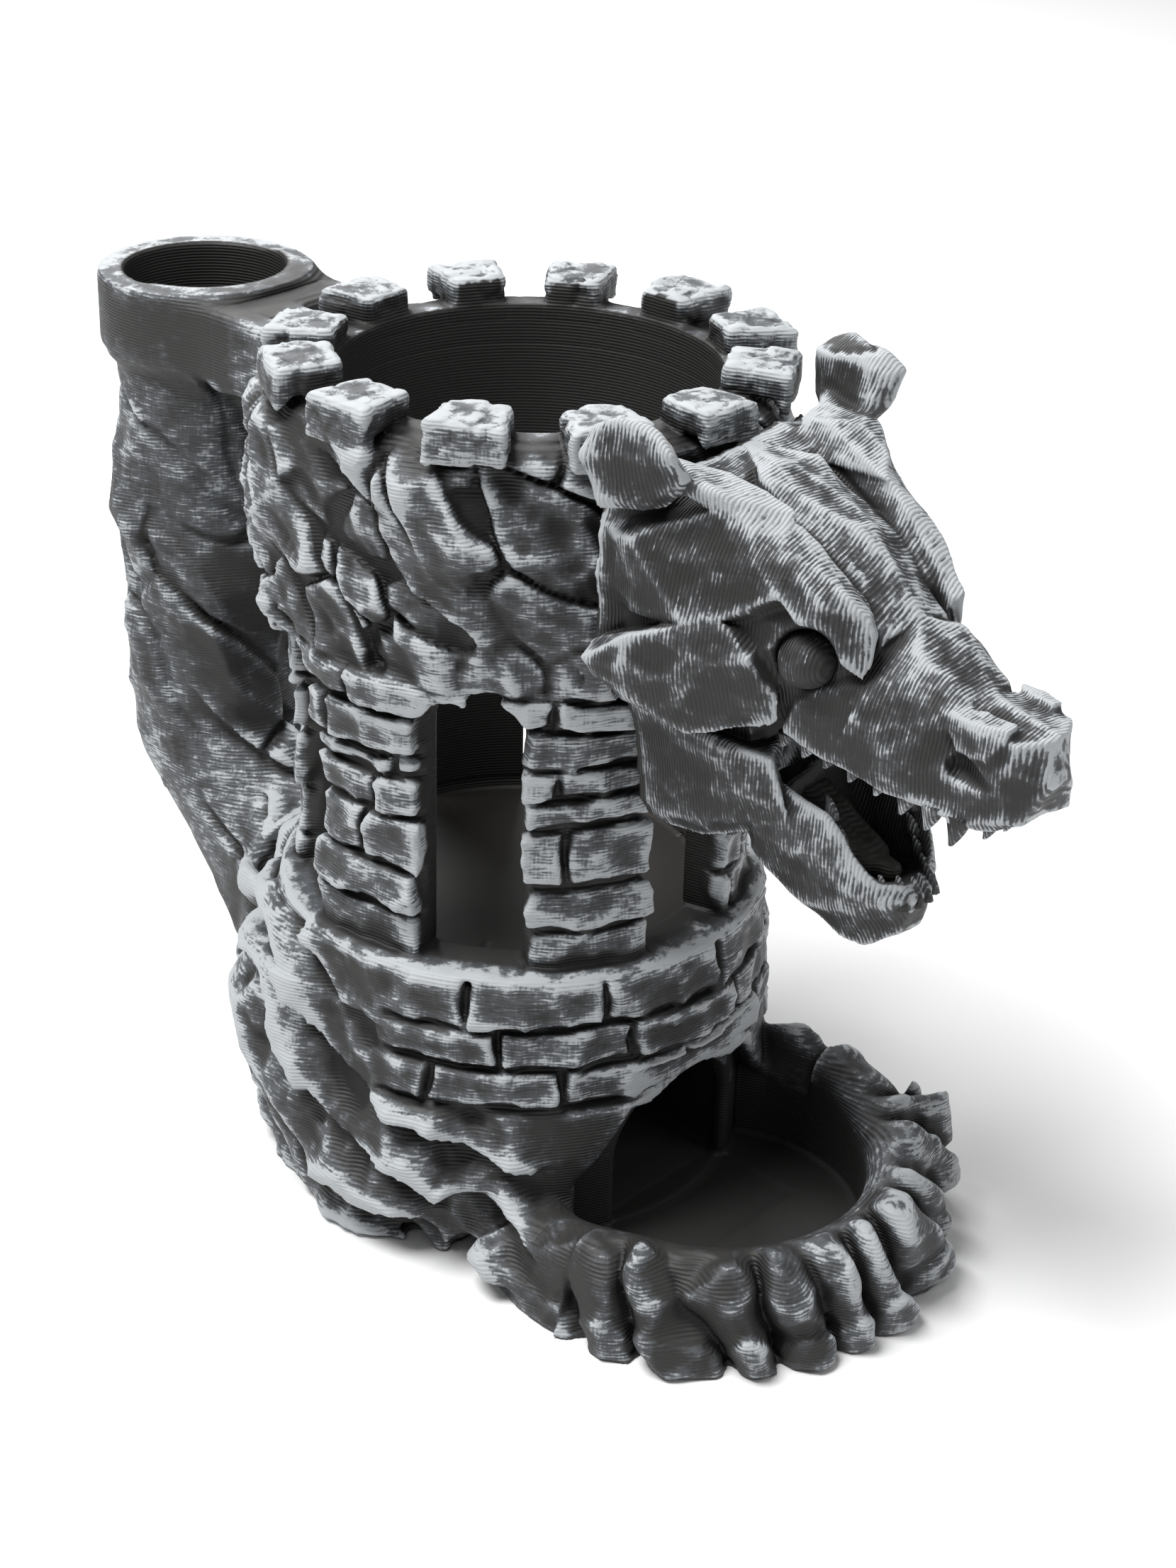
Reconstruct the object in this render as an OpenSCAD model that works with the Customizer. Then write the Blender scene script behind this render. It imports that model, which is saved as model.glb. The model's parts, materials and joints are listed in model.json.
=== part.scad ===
// Dice tower shaped as a ruined castle keep: a round socket for a drinks can stands over a
// dice chamber, a hollow rock column at the back feeds it, and a rock tray catches the dice.
// A carved beast head pushes onto the front of the wall on two pegs.
// Millimetres, +Z up, the tower axis is the Z axis and the tray is towards -Y.

/* [Can socket] */
// Radius of the round socket
can_r = 34; // [32:0.5:35]
// Thickness of the masonry wall round the socket
wall_t = 9; // [8:0.5:9.5]
// Height of the socket floor above the ground
floor_z = 59.5; // [58:0.5:62]
// Thickness of the socket floor
floor_t = 4.5; // [3:0.5:6]
// Height of the ledge that the merlons stand on
rim_z = 160; // [150:1:170]

/* [Battlements] */
// Angle that each merlon covers
merlon_deg = 17; // [12:1:20]
// Height of a merlon above the ledge
merlon_h = 5; // [3:0.5:8]
// How far a merlon reaches past the wall
merlon_proud = 4.5; // [3.5:0.5:5]

/* [Window arcade] */
// Angle that each window covers
window_deg = 27; // [22:1:30]
// Height of the window arches' springing line above the ground
spring_z = 106; // [98:1:108]
// Height of one brick in a pillar
brick_h = 6.2; // [5:0.1:7]

/* [Dice column] */
// Distance from the tower axis to the column axis
column_y = 86; // [84:0.5:90]
// Radius of the bore that the dice drop down
chute_r = 15.5; // [14:0.5:16]
// How much wider the collar's bore is than the bore below it, on the radius
inlet_step = 0.5; // [0.5:0.1:1]
// Wall thickness of the column
column_t = 4.5; // [3.5:0.5:5]
// Height at which the column turns towards the tower
bend_z = 62; // [60:0.5:64]
// Height of the underside of the bridge between column and wall
bridge_z = 141; // [136:1:144]

/* [Base] */
// Radius of the drum under the socket
drum_r = 45; // [44:0.5:46]
// Half the width of the channel that the dice roll through
channel_w = 17; // [16.5:0.5:18]
// Thickness of the foot plate, which is also the tray floor
plate_t = 5; // [4:0.5:6]
// Height of the exit arch above the ground
arch_top = 34; // [32:0.5:38]

/* [Tray] */
// Distance from the tower axis to the tray centre
tray_y = -50; // [-52:0.5:-48]
// Radius inside the tray
tray_r = 28; // [26:0.5:30]
// Height of the tray rim
tray_h = 15; // [13:0.5:18]
// Thickness of the tray rim
tray_t = 12; // [10:0.5:13]

/* [Beast head] */
// Radius of the two pegs that carry the head
peg_r = 2.9; // [2.5:0.1:3.2]
// Clearance between a peg and its socket, on the radius
peg_gap = 0.1; // [0.05:0.01:0.1]
// Gap all round between the head and the tower
head_gap = 0.4; // [0.3:0.1:1]

/* [Hidden] */
$fn = 96;
// Rock and stone colours
stone = "#6e7275";
dark = "#3a3836";
wall_r = can_r + wall_t;
column_r = chute_r + column_t;
window_count = 6;
merlon_count = 12;
window_step = 360 / window_count;
merlon_step = 360 / merlon_count;
pillar_deg = window_step - window_deg;
sill_z = floor_z + 2;
window_r = (can_r + wall_t / 2) * sin(window_deg / 2);
arcade_z = spring_z + window_r + 3;
ledge_z = rim_z - 4;
floor_under = floor_z - floor_t;
course_h = 8.4;
collar_top = rim_z - 2;
collar_proud = 1;
// Rock round the foot of the column
rear_y = 43;
rear_r = 24;
rear_h = 33;
// How far the rocks' toes stand out past the inside of the tray
toe_reach = 15;
brick_proud = 3;
seat_deg = 76;
seat_t = 3.5;
peg_x = 14;
peg_z = rim_z - 30;
peg_in = 7;
head_r = wall_r + seat_t + head_gap;
// The head keeps its place under the rim when the rim height changes
head_up = rim_z - 160;
far = 400;

// A ring round the tower axis
module ring(r_in, r_out, z_low, z_high) {
  translate([0, 0, z_low]) difference() {
    cylinder(r = r_out, h = z_high - z_low);
    translate([0, 0, -1]) cylinder(r = r_in, h = z_high - z_low + 2);
  }
}

// A block of a ring, centred on the angle mid
module sector(r_in, r_out, z_low, z_high, mid, deg) {
  rotate([0, 0, mid - deg / 2]) rotate_extrude(angle = deg)
    translate([r_in, z_low]) square([r_out - r_in, z_high - z_low]);
}

module half_space_x(side, edge) {
  translate([side > 0 ? edge : -edge - far, -far / 2, -far / 2]) cube([far, far, far]);
}

// ---- base ----

module foot_outline() {
  cylinder(r = drum_r - 2, h = plate_t);
  translate([0, tray_y, 0]) cylinder(r = tray_r + toe_reach, h = plate_t);
  translate([0, rear_y, 0]) cylinder(r = rear_r, h = plate_t);
}

module foot_plate() {
  color(dark) foot_outline();
}

// The drum's outside: it swells below the brick courses and draws in at the ground
module drum_body() {
  rotate_extrude() polygon([
    [0, plate_t], [drum_r - 2, plate_t], [drum_r + 1.5, 20], [drum_r + 1.5, 28],
    [drum_r, 33], [drum_r, floor_under], [0, floor_under]
  ]);
}

module drum_side(side) {
  color(stone) intersection() {
    drum_body();
    half_space_x(side, channel_w);
  }
}

// The sloping line that the column's lower part follows
module elbow_rod(r, length) {
  translate([0, column_y, bend_z]) rotate([135, 0, 0]) translate([0, 0, -40]) cylinder(r = r, h = length + 40);
}

module column_rod(r) {
  translate([0, column_y, -1]) cylinder(r = r, h = rim_z + 2);
}

module channel() {
  translate([-channel_w, -60, plate_t]) cube([2 * channel_w, 100, floor_under - plate_t]);
}

module rear_rock() {
  color(stone) difference() {
    translate([0, rear_y, plate_t]) cylinder(r = rear_r, h = rear_h);
    translate([0, 0, -1]) cylinder(r = drum_r, h = far);
    drum_body();
    elbow_rod(column_r, 120);
    channel();
  }
}

// Floor of the dice chamber, falling from the foot of the elbow towards the exit
module dice_ramp() {
  color(dark) intersection() {
    translate([-channel_w, 0, 0]) rotate([90, 0, 90]) linear_extrude(2 * channel_w)
      polygon([[-36, plate_t], [62, plate_t], [62, 17], [52, 12], [-36, plate_t + 0.6]]);
    union() {
      channel();
      elbow_rod(chute_r, 120);
    }
  }
}

module exit_arch() {
  arch_r = channel_w - 1.8;
  color(stone) difference() {
    intersection() {
      translate([0, 0, plate_t]) cylinder(r = drum_r, h = floor_under - plate_t);
      translate([-channel_w, -60, plate_t]) cube([2 * channel_w, 24, floor_under]);
    }
    translate([0, 0, arch_top - arch_r]) rotate([90, 0, 0]) cylinder(r = arch_r, h = 80);
    translate([-arch_r, -80, 0]) cube([2 * arch_r, 80, arch_top - arch_r]);
  }
}

// Weathered ledges round the left and back of the drum
module rock_ledges() {
  ledge_r = drum_r + 1.5;
  color(stone) difference() {
    for (i = [0 : 2]) {
      z = 8 + 8 * i;
      rotate([0, 0, 128 + 4 * i]) rotate_extrude(angle = 88 - 6 * i) polygon([
        [ledge_r - 6, z], [ledge_r + 1, z + 1.5], [ledge_r + 3, z + 4], [ledge_r - 6, z + 6]
      ]);
    }
    drum_body();
    translate([0, rear_y, 0]) cylinder(r = rear_r + 0.2, h = floor_z);
  }
}

// One course of bricks round the front and right of the drum, with open joints
module brick_course(course) {
  z = floor_z - course_h * (3 - course);
  bricks = 9;
  span = 250 / bricks;
  color(stone) for (i = [0 : bricks - 1]) {
    sector(drum_r, drum_r + brick_proud - 0.4 * ((i + course) % 3), z + 0.5, z + course_h - 0.5,
      -196 + span * (i + 0.5 * (course % 2)) + 12, span - 2);
  }
}

module socket_floor() {
  color(dark) translate([0, 0, floor_under]) cylinder(r = drum_r, h = floor_t);
}

// ---- arcade ----

module window_sill() {
  color(stone) ring(can_r, drum_r + 0.5, floor_z, sill_z);
}

module pillar(number) {
  mid = -120 + window_step * (number - 1);
  courses = floor((spring_z - sill_z) / (brick_h + 0.8));
  color(stone) {
    sector(can_r, wall_r - 1, sill_z, spring_z, mid, pillar_deg);
    for (i = [0 : courses - 1]) {
      z = sill_z + 0.8 + i * (brick_h + 0.8);
      sector(wall_r - 2, wall_r + 0.4 * (i % 3), z, z + brick_h, mid, pillar_deg - 1.5 * (i % 2));
    }
  }
}

module window_arches() {
  color(stone) difference() {
    ring(can_r, wall_r, spring_z, arcade_z);
    for (i = [0 : window_count - 1]) rotate([0, 0, -90 + window_step * i])
      translate([can_r - 8, 0, spring_z]) rotate([0, 90, 0]) cylinder(r = window_r, h = 30);
  }
}

// ---- upper wall ----

module peg_holes() {
  for (x = [-peg_x, peg_x]) translate([x, -head_r, peg_z]) rotate([-90, 0, 0])
    translate([0, 0, -10]) cylinder(r = peg_r + peg_gap, h = peg_in + 12);
}

module upper_wall() {
  color(stone) difference() {
    ring(can_r, wall_r, arcade_z, ledge_z);
    peg_holes();
  }
}

module head_seat() {
  color(stone) difference() {
    sector(wall_r, wall_r + seat_t, spring_z, ledge_z, -90, seat_deg);
    peg_holes();
  }
}

// Split rocks that stand out of the wall on one side of the tower
module rock_face(side) {
  rows = 3;
  color(stone) difference() {
    for (row = [0 : rows - 1]) for (i = [0 : 4]) {
      turn = -90 + side * (seat_deg / 2 + 12 + 24 * i + 10 * (row % 2));
      lean = 10 * sin(70 * i + 130 * row);
      z = arcade_z + 6 + 12.6 * row;
      rotate([0, 0, turn]) translate([wall_r - 2.5, 0, z]) rotate([lean, 14 - 9 * (row % 3), 12])
        cube([7, 14, 10], center = true);
    }
    translate([0, 0, -1]) cylinder(r = wall_r, h = far, $fn = 360);
    translate([-far / 2, -far / 2, ledge_z]) cube([far, far, far]);
    sector(wall_r - 5, wall_r + 20, 50, far, -90, seat_deg + 2);
    translate([-21, 20, bridge_z - 0.2]) cube([42, 60, 60]);
    half_space_x(-side, 0);
  }
}

module rim_ledge() {
  color(stone) rotate_extrude() polygon([
    [can_r, ledge_z], [wall_r, ledge_z], [wall_r + 2.6, ledge_z + 1], [wall_r + 2.2, rim_z - 1.4],
    [can_r + 4, rim_z], [can_r, rim_z]
  ]);
}

module merlon(number) {
  mid = -90 + merlon_step * (number - 1);
  r_out = wall_r + merlon_proud;
  color(stone) difference() {
    rotate([0, 0, mid - merlon_deg / 2]) rotate_extrude(angle = merlon_deg) polygon([
      [can_r + 0.4, rim_z - 1], [wall_r, ledge_z + 1], [r_out, ledge_z + 1.6], [r_out, rim_z + merlon_h - 1],
      [r_out - 1, rim_z + merlon_h], [can_r + 1.4, rim_z + merlon_h], [can_r + 0.4, rim_z + merlon_h - 1]
    ]);
    rotate_extrude() polygon([
      [0, 0], [wall_r, 0], [wall_r, ledge_z], [wall_r + 2.6, ledge_z + 1], [wall_r + 2.2, rim_z - 1.4],
      [can_r + 4, rim_z], [0, rim_z]
    ]);
  }
}

// ---- dice column ----

module bridge() {
  color(stone) difference() {
    translate([-17, 30, bridge_z]) cube([34, 50, ledge_z - bridge_z]);
    translate([0, 0, -1]) cylinder(r = wall_r, h = far);
    column_rod(column_r + collar_proud);
  }
}

module column_collar() {
  color(stone) difference() {
    translate([0, column_y, bridge_z]) cylinder(r = column_r + collar_proud, h = collar_top - bridge_z);
    column_rod(chute_r + inlet_step);
  }
}

// The mitre between the upright column and its sloping foot
module mitre(side) {
  translate([0, column_y, bend_z]) rotate([-22.5, 0, 0])
    translate([-far / 2, -far / 2, side > 0 ? 0 : -far]) cube([far, far, far]);
}

module column_shaft() {
  color(stone) difference() {
    translate([0, column_y, 20]) cylinder(r = column_r, h = bridge_z - 20);
    column_rod(chute_r);
    mitre(-1);
  }
}

module column_elbow() {
  color(stone) difference() {
    elbow_rod(column_r, 120);
    elbow_rod(chute_r, 140);
    mitre(1);
    translate([0, 0, -1]) cylinder(r = drum_r, h = far);
    drum_body();
    translate([-far / 2, -far / 2, plate_t - far]) cube([far, far, far]);
    translate([-far / 2, -far, 0]) cube([far, far, far]);
  }
}

// ---- tray ----

module tray_side(side) {
  color(stone) difference() {
    intersection() {
      translate([0, tray_y, 0]) union() {
        ring(tray_r, tray_r + tray_t, plate_t, tray_h);
        if (side > 0) sector(tray_r + 2, tray_r + tray_t - 1, tray_h - 2, tray_h + 6, 0, 70);
      }
      half_space_x(side, 0);
    }
    drum_body();
    translate([0, 0, -1]) cylinder(r = drum_r, h = far);
  }
}

// Claw-like ridges that grip the front of the tray rim
module tray_claws() {
  color(stone) difference() {
    for (i = [0 : 5]) translate([0, tray_y, 0]) rotate([0, 0, -165 + 25 * i]) hull() {
      translate([tray_r + 5, 0, tray_h + 1]) sphere(r = 2.6, $fn = 16);
      translate([tray_r + 12, 0, tray_h - 3]) sphere(r = 3.4, $fn = 16);
      translate([tray_r + toe_reach, 3, 4.2]) sphere(r = 3.8, $fn = 16);
    }
    translate([0, tray_y, 0]) cylinder(r = tray_r + tray_t, h = tray_h);
    foot_outline();
    translate([0, 0, -1]) cylinder(r = drum_r + 4, h = far);
  }
}

module tray_boulders() {
  rim_top = tray_h + 6;
  color(stone) difference() {
    union() {
      hull() {
        translate([33, tray_y + 9, rim_top + 7]) sphere(r = 1, $fn = 12);
        translate([36, tray_y + 17, rim_top + 1]) sphere(r = 3, $fn = 12);
        translate([37, tray_y + 5, rim_top - 1]) sphere(r = 3, $fn = 12);
        translate([33, tray_y + 12, rim_top - 1]) sphere(r = 2.5, $fn = 12);
      }
      hull() {
        translate([37, tray_y - 17, rim_top + 1]) sphere(r = 3.4, $fn = 12);
        translate([38, tray_y - 15, 7]) sphere(r = 4, $fn = 12);
        translate([33, tray_y - 12, 13]) sphere(r = 3, $fn = 12);
      }
    }
    translate([0, tray_y, 0]) cylinder(r = tray_r + tray_t, h = tray_h);
    translate([0, tray_y, 0]) sector(tray_r - 5, tray_r + tray_t - 1, 0, rim_top, 0, 70);
    foot_outline();
    translate([0, 0, -1]) cylinder(r = drum_r + 4, h = far);
  }
}

// ---- beast head: faceted forms on the points of one side, mirrored for the other ----

module knob(p, r) {
  translate(p + [0, 0, head_up]) sphere(r = r, $fn = 8);
}

// Convex form through points given for the right side and repeated on the left
module both_sides(points) {
  hull() for (p = points, s = [-1, 1]) knob([s * p[0], p[1], p[2]], 0.8);
}

module one_side(side, points) {
  hull() for (p = points) knob([side * p[0], p[1], p[2]], 0.8);
}

module skull_form() {
  both_sides([
    [13, -40, 157], [24, -40, 154], [29, -42, 140], [27, -42, 120], [14, -40, 100],
    [8, -60, 157], [18, -62, 150], [20, -74, 140], [20, -70, 118], [12, -64, 106], [6, -80, 142]
  ]);
}

module snout_form() {
  both_sides([
    [6, -72, 146], [15, -72, 138], [15, -76, 114], [6, -92, 133], [6, -104, 130],
    [10, -96, 122], [9, -108, 122], [7, -104, 107], [12, -78, 108]
  ]);
}

module nose_form() {
  both_sides([[6, -101, 130.5], [8, -110, 130], [9.5, -112, 122], [7, -107, 109], [9, -104, 118]]);
}

module brow_form(side) {
  one_side(side, [[8, -56, 157], [16, -60, 152], [21, -72, 145], [12, -85, 133.5], [9, -84, 138], [8, -70, 149]]);
}

module ear_form(side) {
  one_side(side, [
    [17, -45, 160], [30, -44, 154], [19, -60, 155], [25, -59, 165], [29, -52, 171], [26, -46, 170],
    [33, -46, 163]
  ]);
}

module cheek_form(side) {
  one_side(side, [[30, -42, 125], [24, -46, 136], [21, -70, 126], [23, -57, 112], [18, -64, 110], [18, -46, 118]]);
}

module eye_form(side) {
  translate([side * 17.5, -76.5, 132.8 + head_up]) sphere(r = 4.6, $fn = 32);
}

module jaw_form() {
  both_sides([
    [14, -40, 99], [12, -40, 91], [12, -60, 100], [9, -60, 86], [7, -75, 75], [5, -83, 77],
    [6, -89, 88], [10, -76, 92]
  ]);
}

module tongue_form() {
  both_sides([[4, -64, 100], [4, -76, 93], [3, -82, 90], [4, -66, 94]]);
}

// Everything of the tower that the head has to clear
module tower_room() {
  translate([0, 0, -1]) cylinder(r = head_r, h = far);
  translate([0, 0, ledge_z - 1]) cylinder(r = wall_r + merlon_proud + head_gap, h = far);
}

module peg_bodies() {
  for (x = [-peg_x, peg_x]) translate([x, -(head_r + 8), peg_z]) rotate([-90, 0, 0])
    cylinder(r = peg_r, h = peg_in + 8);
}

module skull() {
  color(stone) difference() {
    skull_form();
    tower_room();
    peg_bodies();
    eye_form(-1);
    eye_form(1);
  }
}

module snout() {
  color(stone) difference() {
    snout_form();
    skull_form();
    eye_form(-1);
    eye_form(1);
  }
}

module nose() {
  color(stone) difference() {
    nose_form();
    snout_form();
  }
}

module brow(side) {
  color(stone) difference() {
    brow_form(side);
    skull_form();
    snout_form();
    eye_form(side);
  }
}

module ear(side) {
  color(stone) difference() {
    ear_form(side);
    skull_form();
    brow_form(side);
    tower_room();
  }
}

module cheek(side) {
  color(stone) difference() {
    cheek_form(side);
    skull_form();
    snout_form();
    eye_form(side);
    tower_room();
  }
}

module eyes() {
  color(dark) {
    eye_form(-1);
    eye_form(1);
  }
}

// A row of pointed teeth along a line on each side of the mouth
module tooth_row(from, to, count, tooth_h) {
  for (s = [-1, 1], i = [0 : count - 1]) {
    p = from + (to - from) * i / (count - 1);
    translate([s * p[0], p[1], p[2] + head_up]) cylinder(r1 = 1.3, r2 = 0.3, h = tooth_h, $fn = 8);
  }
}

module upper_teeth() {
  color(stone) difference() {
    mirror([0, 0, 1]) translate([0, 0, -2 * head_up])
      tooth_row([10, -82, -109.5], [7, -101, -109], 6, 6);
    snout_form();
    skull_form();
    nose_form();
  }
}

module lower_jaw() {
  color(stone) difference() {
    jaw_form();
    skull_form();
    tongue_form();
    tower_room();
  }
}

module lower_teeth() {
  color(stone) difference() {
    tooth_row([10, -74, 92], [5, -87, 88], 5, 5);
    jaw_form();
    skull_form();
    tongue_form();
  }
}

module tongue() {
  color(dark) difference() {
    tongue_form();
    skull_form();
    snout_form();
  }
}

module head_pegs() {
  color(dark) peg_bodies();
}

foot_plate();
dice_ramp();
drum_side(-1);  // drum_left
drum_side(1);  // drum_right
rear_rock();
exit_arch();
rock_ledges();
brick_course(0);  // brick_course_low
brick_course(1);  // brick_course_mid
brick_course(2);  // brick_course_top
socket_floor();
window_sill();
pillar(1);  // pillar_1
pillar(2);  // pillar_2
pillar(3);  // pillar_3
pillar(4);  // pillar_4
pillar(5);  // pillar_5
pillar(6);  // pillar_6
window_arches();
upper_wall();
rock_face(-1);  // rock_face_left
rock_face(1);  // rock_face_right
rim_ledge();
merlon(1);  // merlon_1
merlon(2);  // merlon_2
merlon(3);  // merlon_3
merlon(4);  // merlon_4
merlon(5);  // merlon_5
merlon(6);  // merlon_6
merlon(7);  // merlon_7
merlon(8);  // merlon_8
merlon(9);  // merlon_9
merlon(10);  // merlon_10
merlon(11);  // merlon_11
merlon(12);  // merlon_12
head_seat();
bridge();
column_collar();
column_shaft();
column_elbow();
tray_side(-1);  // tray_rim_left
tray_side(1);  // tray_rim_right
tray_claws();
tray_boulders();
skull();
snout();
nose();
brow(-1);  // brow_left
brow(1);  // brow_right
eyes();
ear(-1);  // ear_left
ear(1);  // ear_right
cheek(-1);  // cheek_left
cheek(1);  // cheek_right
upper_teeth();
lower_jaw();
lower_teeth();
tongue();
head_pegs();
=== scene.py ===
"""Looks of the dice tower: a dry-brushed, 3-D printed castle keep with a beast's head.

The stone is modelled like clay: each print starts as a block of voxels that hold the distance to
its surface, plain forms are added and cut away, rock and brick relief is pressed in, and every
named piece is then meshed from its own part of the block. Lengths are in millimetres until a
piece is meshed; Blender objects are in metres, in the frame of the CAD model.
"""

import json
import math

import bmesh
import bpy
import numpy as np
import openvdb
from mathutils import Matrix, Vector


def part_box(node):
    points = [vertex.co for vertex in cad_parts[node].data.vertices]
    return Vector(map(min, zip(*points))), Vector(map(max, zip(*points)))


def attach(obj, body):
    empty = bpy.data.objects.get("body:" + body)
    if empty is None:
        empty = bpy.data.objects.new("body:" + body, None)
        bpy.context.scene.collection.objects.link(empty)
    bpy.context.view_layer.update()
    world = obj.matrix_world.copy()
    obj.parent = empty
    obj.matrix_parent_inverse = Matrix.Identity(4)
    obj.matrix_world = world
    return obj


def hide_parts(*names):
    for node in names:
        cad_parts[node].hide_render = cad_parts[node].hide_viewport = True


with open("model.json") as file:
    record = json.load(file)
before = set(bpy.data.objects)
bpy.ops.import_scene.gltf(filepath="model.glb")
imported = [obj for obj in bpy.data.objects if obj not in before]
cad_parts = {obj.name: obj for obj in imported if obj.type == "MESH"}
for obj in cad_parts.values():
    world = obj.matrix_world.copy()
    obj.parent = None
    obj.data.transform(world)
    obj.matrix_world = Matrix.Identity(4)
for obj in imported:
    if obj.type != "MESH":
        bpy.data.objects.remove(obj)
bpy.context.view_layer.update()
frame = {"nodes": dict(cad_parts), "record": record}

MM = 0.001
# Sides of the voxels of the two blocks of clay
VOXEL = 0.62
HEAD_VOXEL = 0.45
# Distance that empty clay starts with
FAR = 6.0
# Relief is pressed into this band on both sides of a surface, and stays a little shallower
BAND = 4.5
DEEPEST = 4.1


# ---- sizes, read from the frame ----


def corners(node):
    """Lowest and highest corner of a CAD node, in millimetres."""
    low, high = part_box(node)
    return np.array(low) / MM, np.array(high) / MM


mounts = {m["name"]: m for m in frame["record"]["mounts"]}
CAN_R = mounts["can_socket"]["dims"]["r_mm"]
INLET_R = mounts["dice_inlet"]["dims"]["r_mm"]
CHUTE_R = INLET_R - 0.5
COLUMN_Y = mounts["dice_inlet"]["pos_m"][1] / MM
FLOOR_Z = corners("socket_floor")[1][2]
CEILING_Z = corners("socket_floor")[0][2]
SILL_Z = corners("window_sill")[1][2]
SPRING_Z = corners("pillar_1")[1][2]
DRUM_R = corners("socket_floor")[1][0]
PLATE_Z = corners("foot_plate")[1][2]
MERLON_TOP = corners("merlon_7")[1][2]
MERLON_R = corners("merlon_4")[1][0]
BRIDGE_Z = corners("bridge")[0][2]
CHANNEL_W = corners("dice_ramp")[1][0]
TRAY_Y = corners("tray_rim_left")[0][1] - corners("tray_rim_left")[0][0]
TRAY_R = 28.0
BEND_Z = 62.0
BASE_TOP = 34.3
COURSE_H = (FLOOR_Z - corners("brick_course_low")[0][2]) / 3
SEAT_R = -corners("head_seat")[0][1]
# Middle of the wall at the windows and under the merlons, and where its relief is laid out flat
WINDOW_R = 38.5
MERLON_MIDDLE = 41.0
LAYOUT_R = 46.0
# Height at which the head's back steps out round the merlons
HEAD_STEP_Z = 155


# ---- noise ----

dice = np.random.default_rng(20)
LATTICE = dice.random((64, 64, 64)).astype(np.float32)
SEEDS = dice.random((64, 64, 64, 3)).astype(np.float32)
SLOPES = dice.normal(size=(64, 64, 64, 3)).astype(np.float32)
SLOPES /= np.linalg.norm(SLOPES, axis=-1, keepdims=True)


def blobs(p, size, shift=0.0):
    """Smooth value noise in -1..1 with lumps of the given size; p is an N x 3 array."""
    q = p / np.float32(size) + np.float32(shift + 100.0)
    cell = np.floor(q).astype(np.int32)
    t = q - cell
    t = t * t * (3 - 2 * t)
    total = np.zeros(len(p), np.float32)
    for corner in range(8):
        dx, dy, dz = corner & 1, corner >> 1 & 1, corner >> 2 & 1
        weight = (t[:, 0] if dx else 1 - t[:, 0]) * (t[:, 1] if dy else 1 - t[:, 1])
        weight = weight * (t[:, 2] if dz else 1 - t[:, 2])
        total += weight * LATTICE[(cell[:, 0] + dx) & 63, (cell[:, 1] + dy) & 63, (cell[:, 2] + dz) & 63]
    return 2 * total - 1


def warped(p, size, amount, shift=0.0):
    """Points pushed about by noise, so that patterns laid on them wander."""
    push = [blobs(p, size, shift + 7.3 * axis) for axis in range(3)]
    return p + np.float32(amount) * np.stack(push, 1)


def seeds_near(p, size, shift):
    """For each of the 27 cells round a point: the cell's key and the way from its seed, in cells."""
    q = p / np.float32(size) + np.float32(shift)
    cell = np.floor(q).astype(np.int32)
    for step in range(27):
        spot = cell + np.array([step % 3 - 1, step // 3 % 3 - 1, step // 9 - 1], np.int32)
        key = (spot[:, 0] & 63, spot[:, 1] & 63, spot[:, 2] & 63)
        yield key, q - spot - SEEDS[key]


def chips(p, size, shift=0.0):
    """Split-rock pattern: a slope height for the flat face of each chip, and the distance
    to the crack between chips as a share of the chip size."""
    near = np.full(len(p), 9.0, np.float32)
    second = np.full(len(p), 9.0, np.float32)
    height = np.zeros(len(p), np.float32)
    for key, away in seeds_near(p, size, shift + 50.0):
        reach = np.einsum("ij,ij->i", away, away)
        closer = reach < near
        second = np.where(closer, near, np.minimum(second, reach))
        slope = np.einsum("ij,ij->i", away, SLOPES[key]) + LATTICE[key] - 0.5
        height = np.where(closer, slope, height)
        near = np.where(closer, reach, near)
    return height, np.sqrt(second) - np.sqrt(near)


def scoops(p, size, shift=0.0, slant=0.55):
    """Knapped-stone pattern, about 0..1: shallow bowls that meet in sharp ridges."""
    lowest = np.full(len(p), 9.0, np.float32)
    for key, away in seeds_near(p, size, shift + 30.0):
        bowl = np.einsum("ij,ij->i", away, away) + slant * np.einsum("ij,ij->i", away, SLOPES[key])
        lowest = np.minimum(lowest, bowl + 0.3 * LATTICE[key])
    return lowest


def ease(low, high, value):
    """0 below low, 1 above high, smooth between."""
    t = np.clip((value - low) / (high - low), 0.0, 1.0)
    return t * t * (3 - 2 * t)


# ---- clay: voxel blocks that hold the distance to a surface ----


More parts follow.
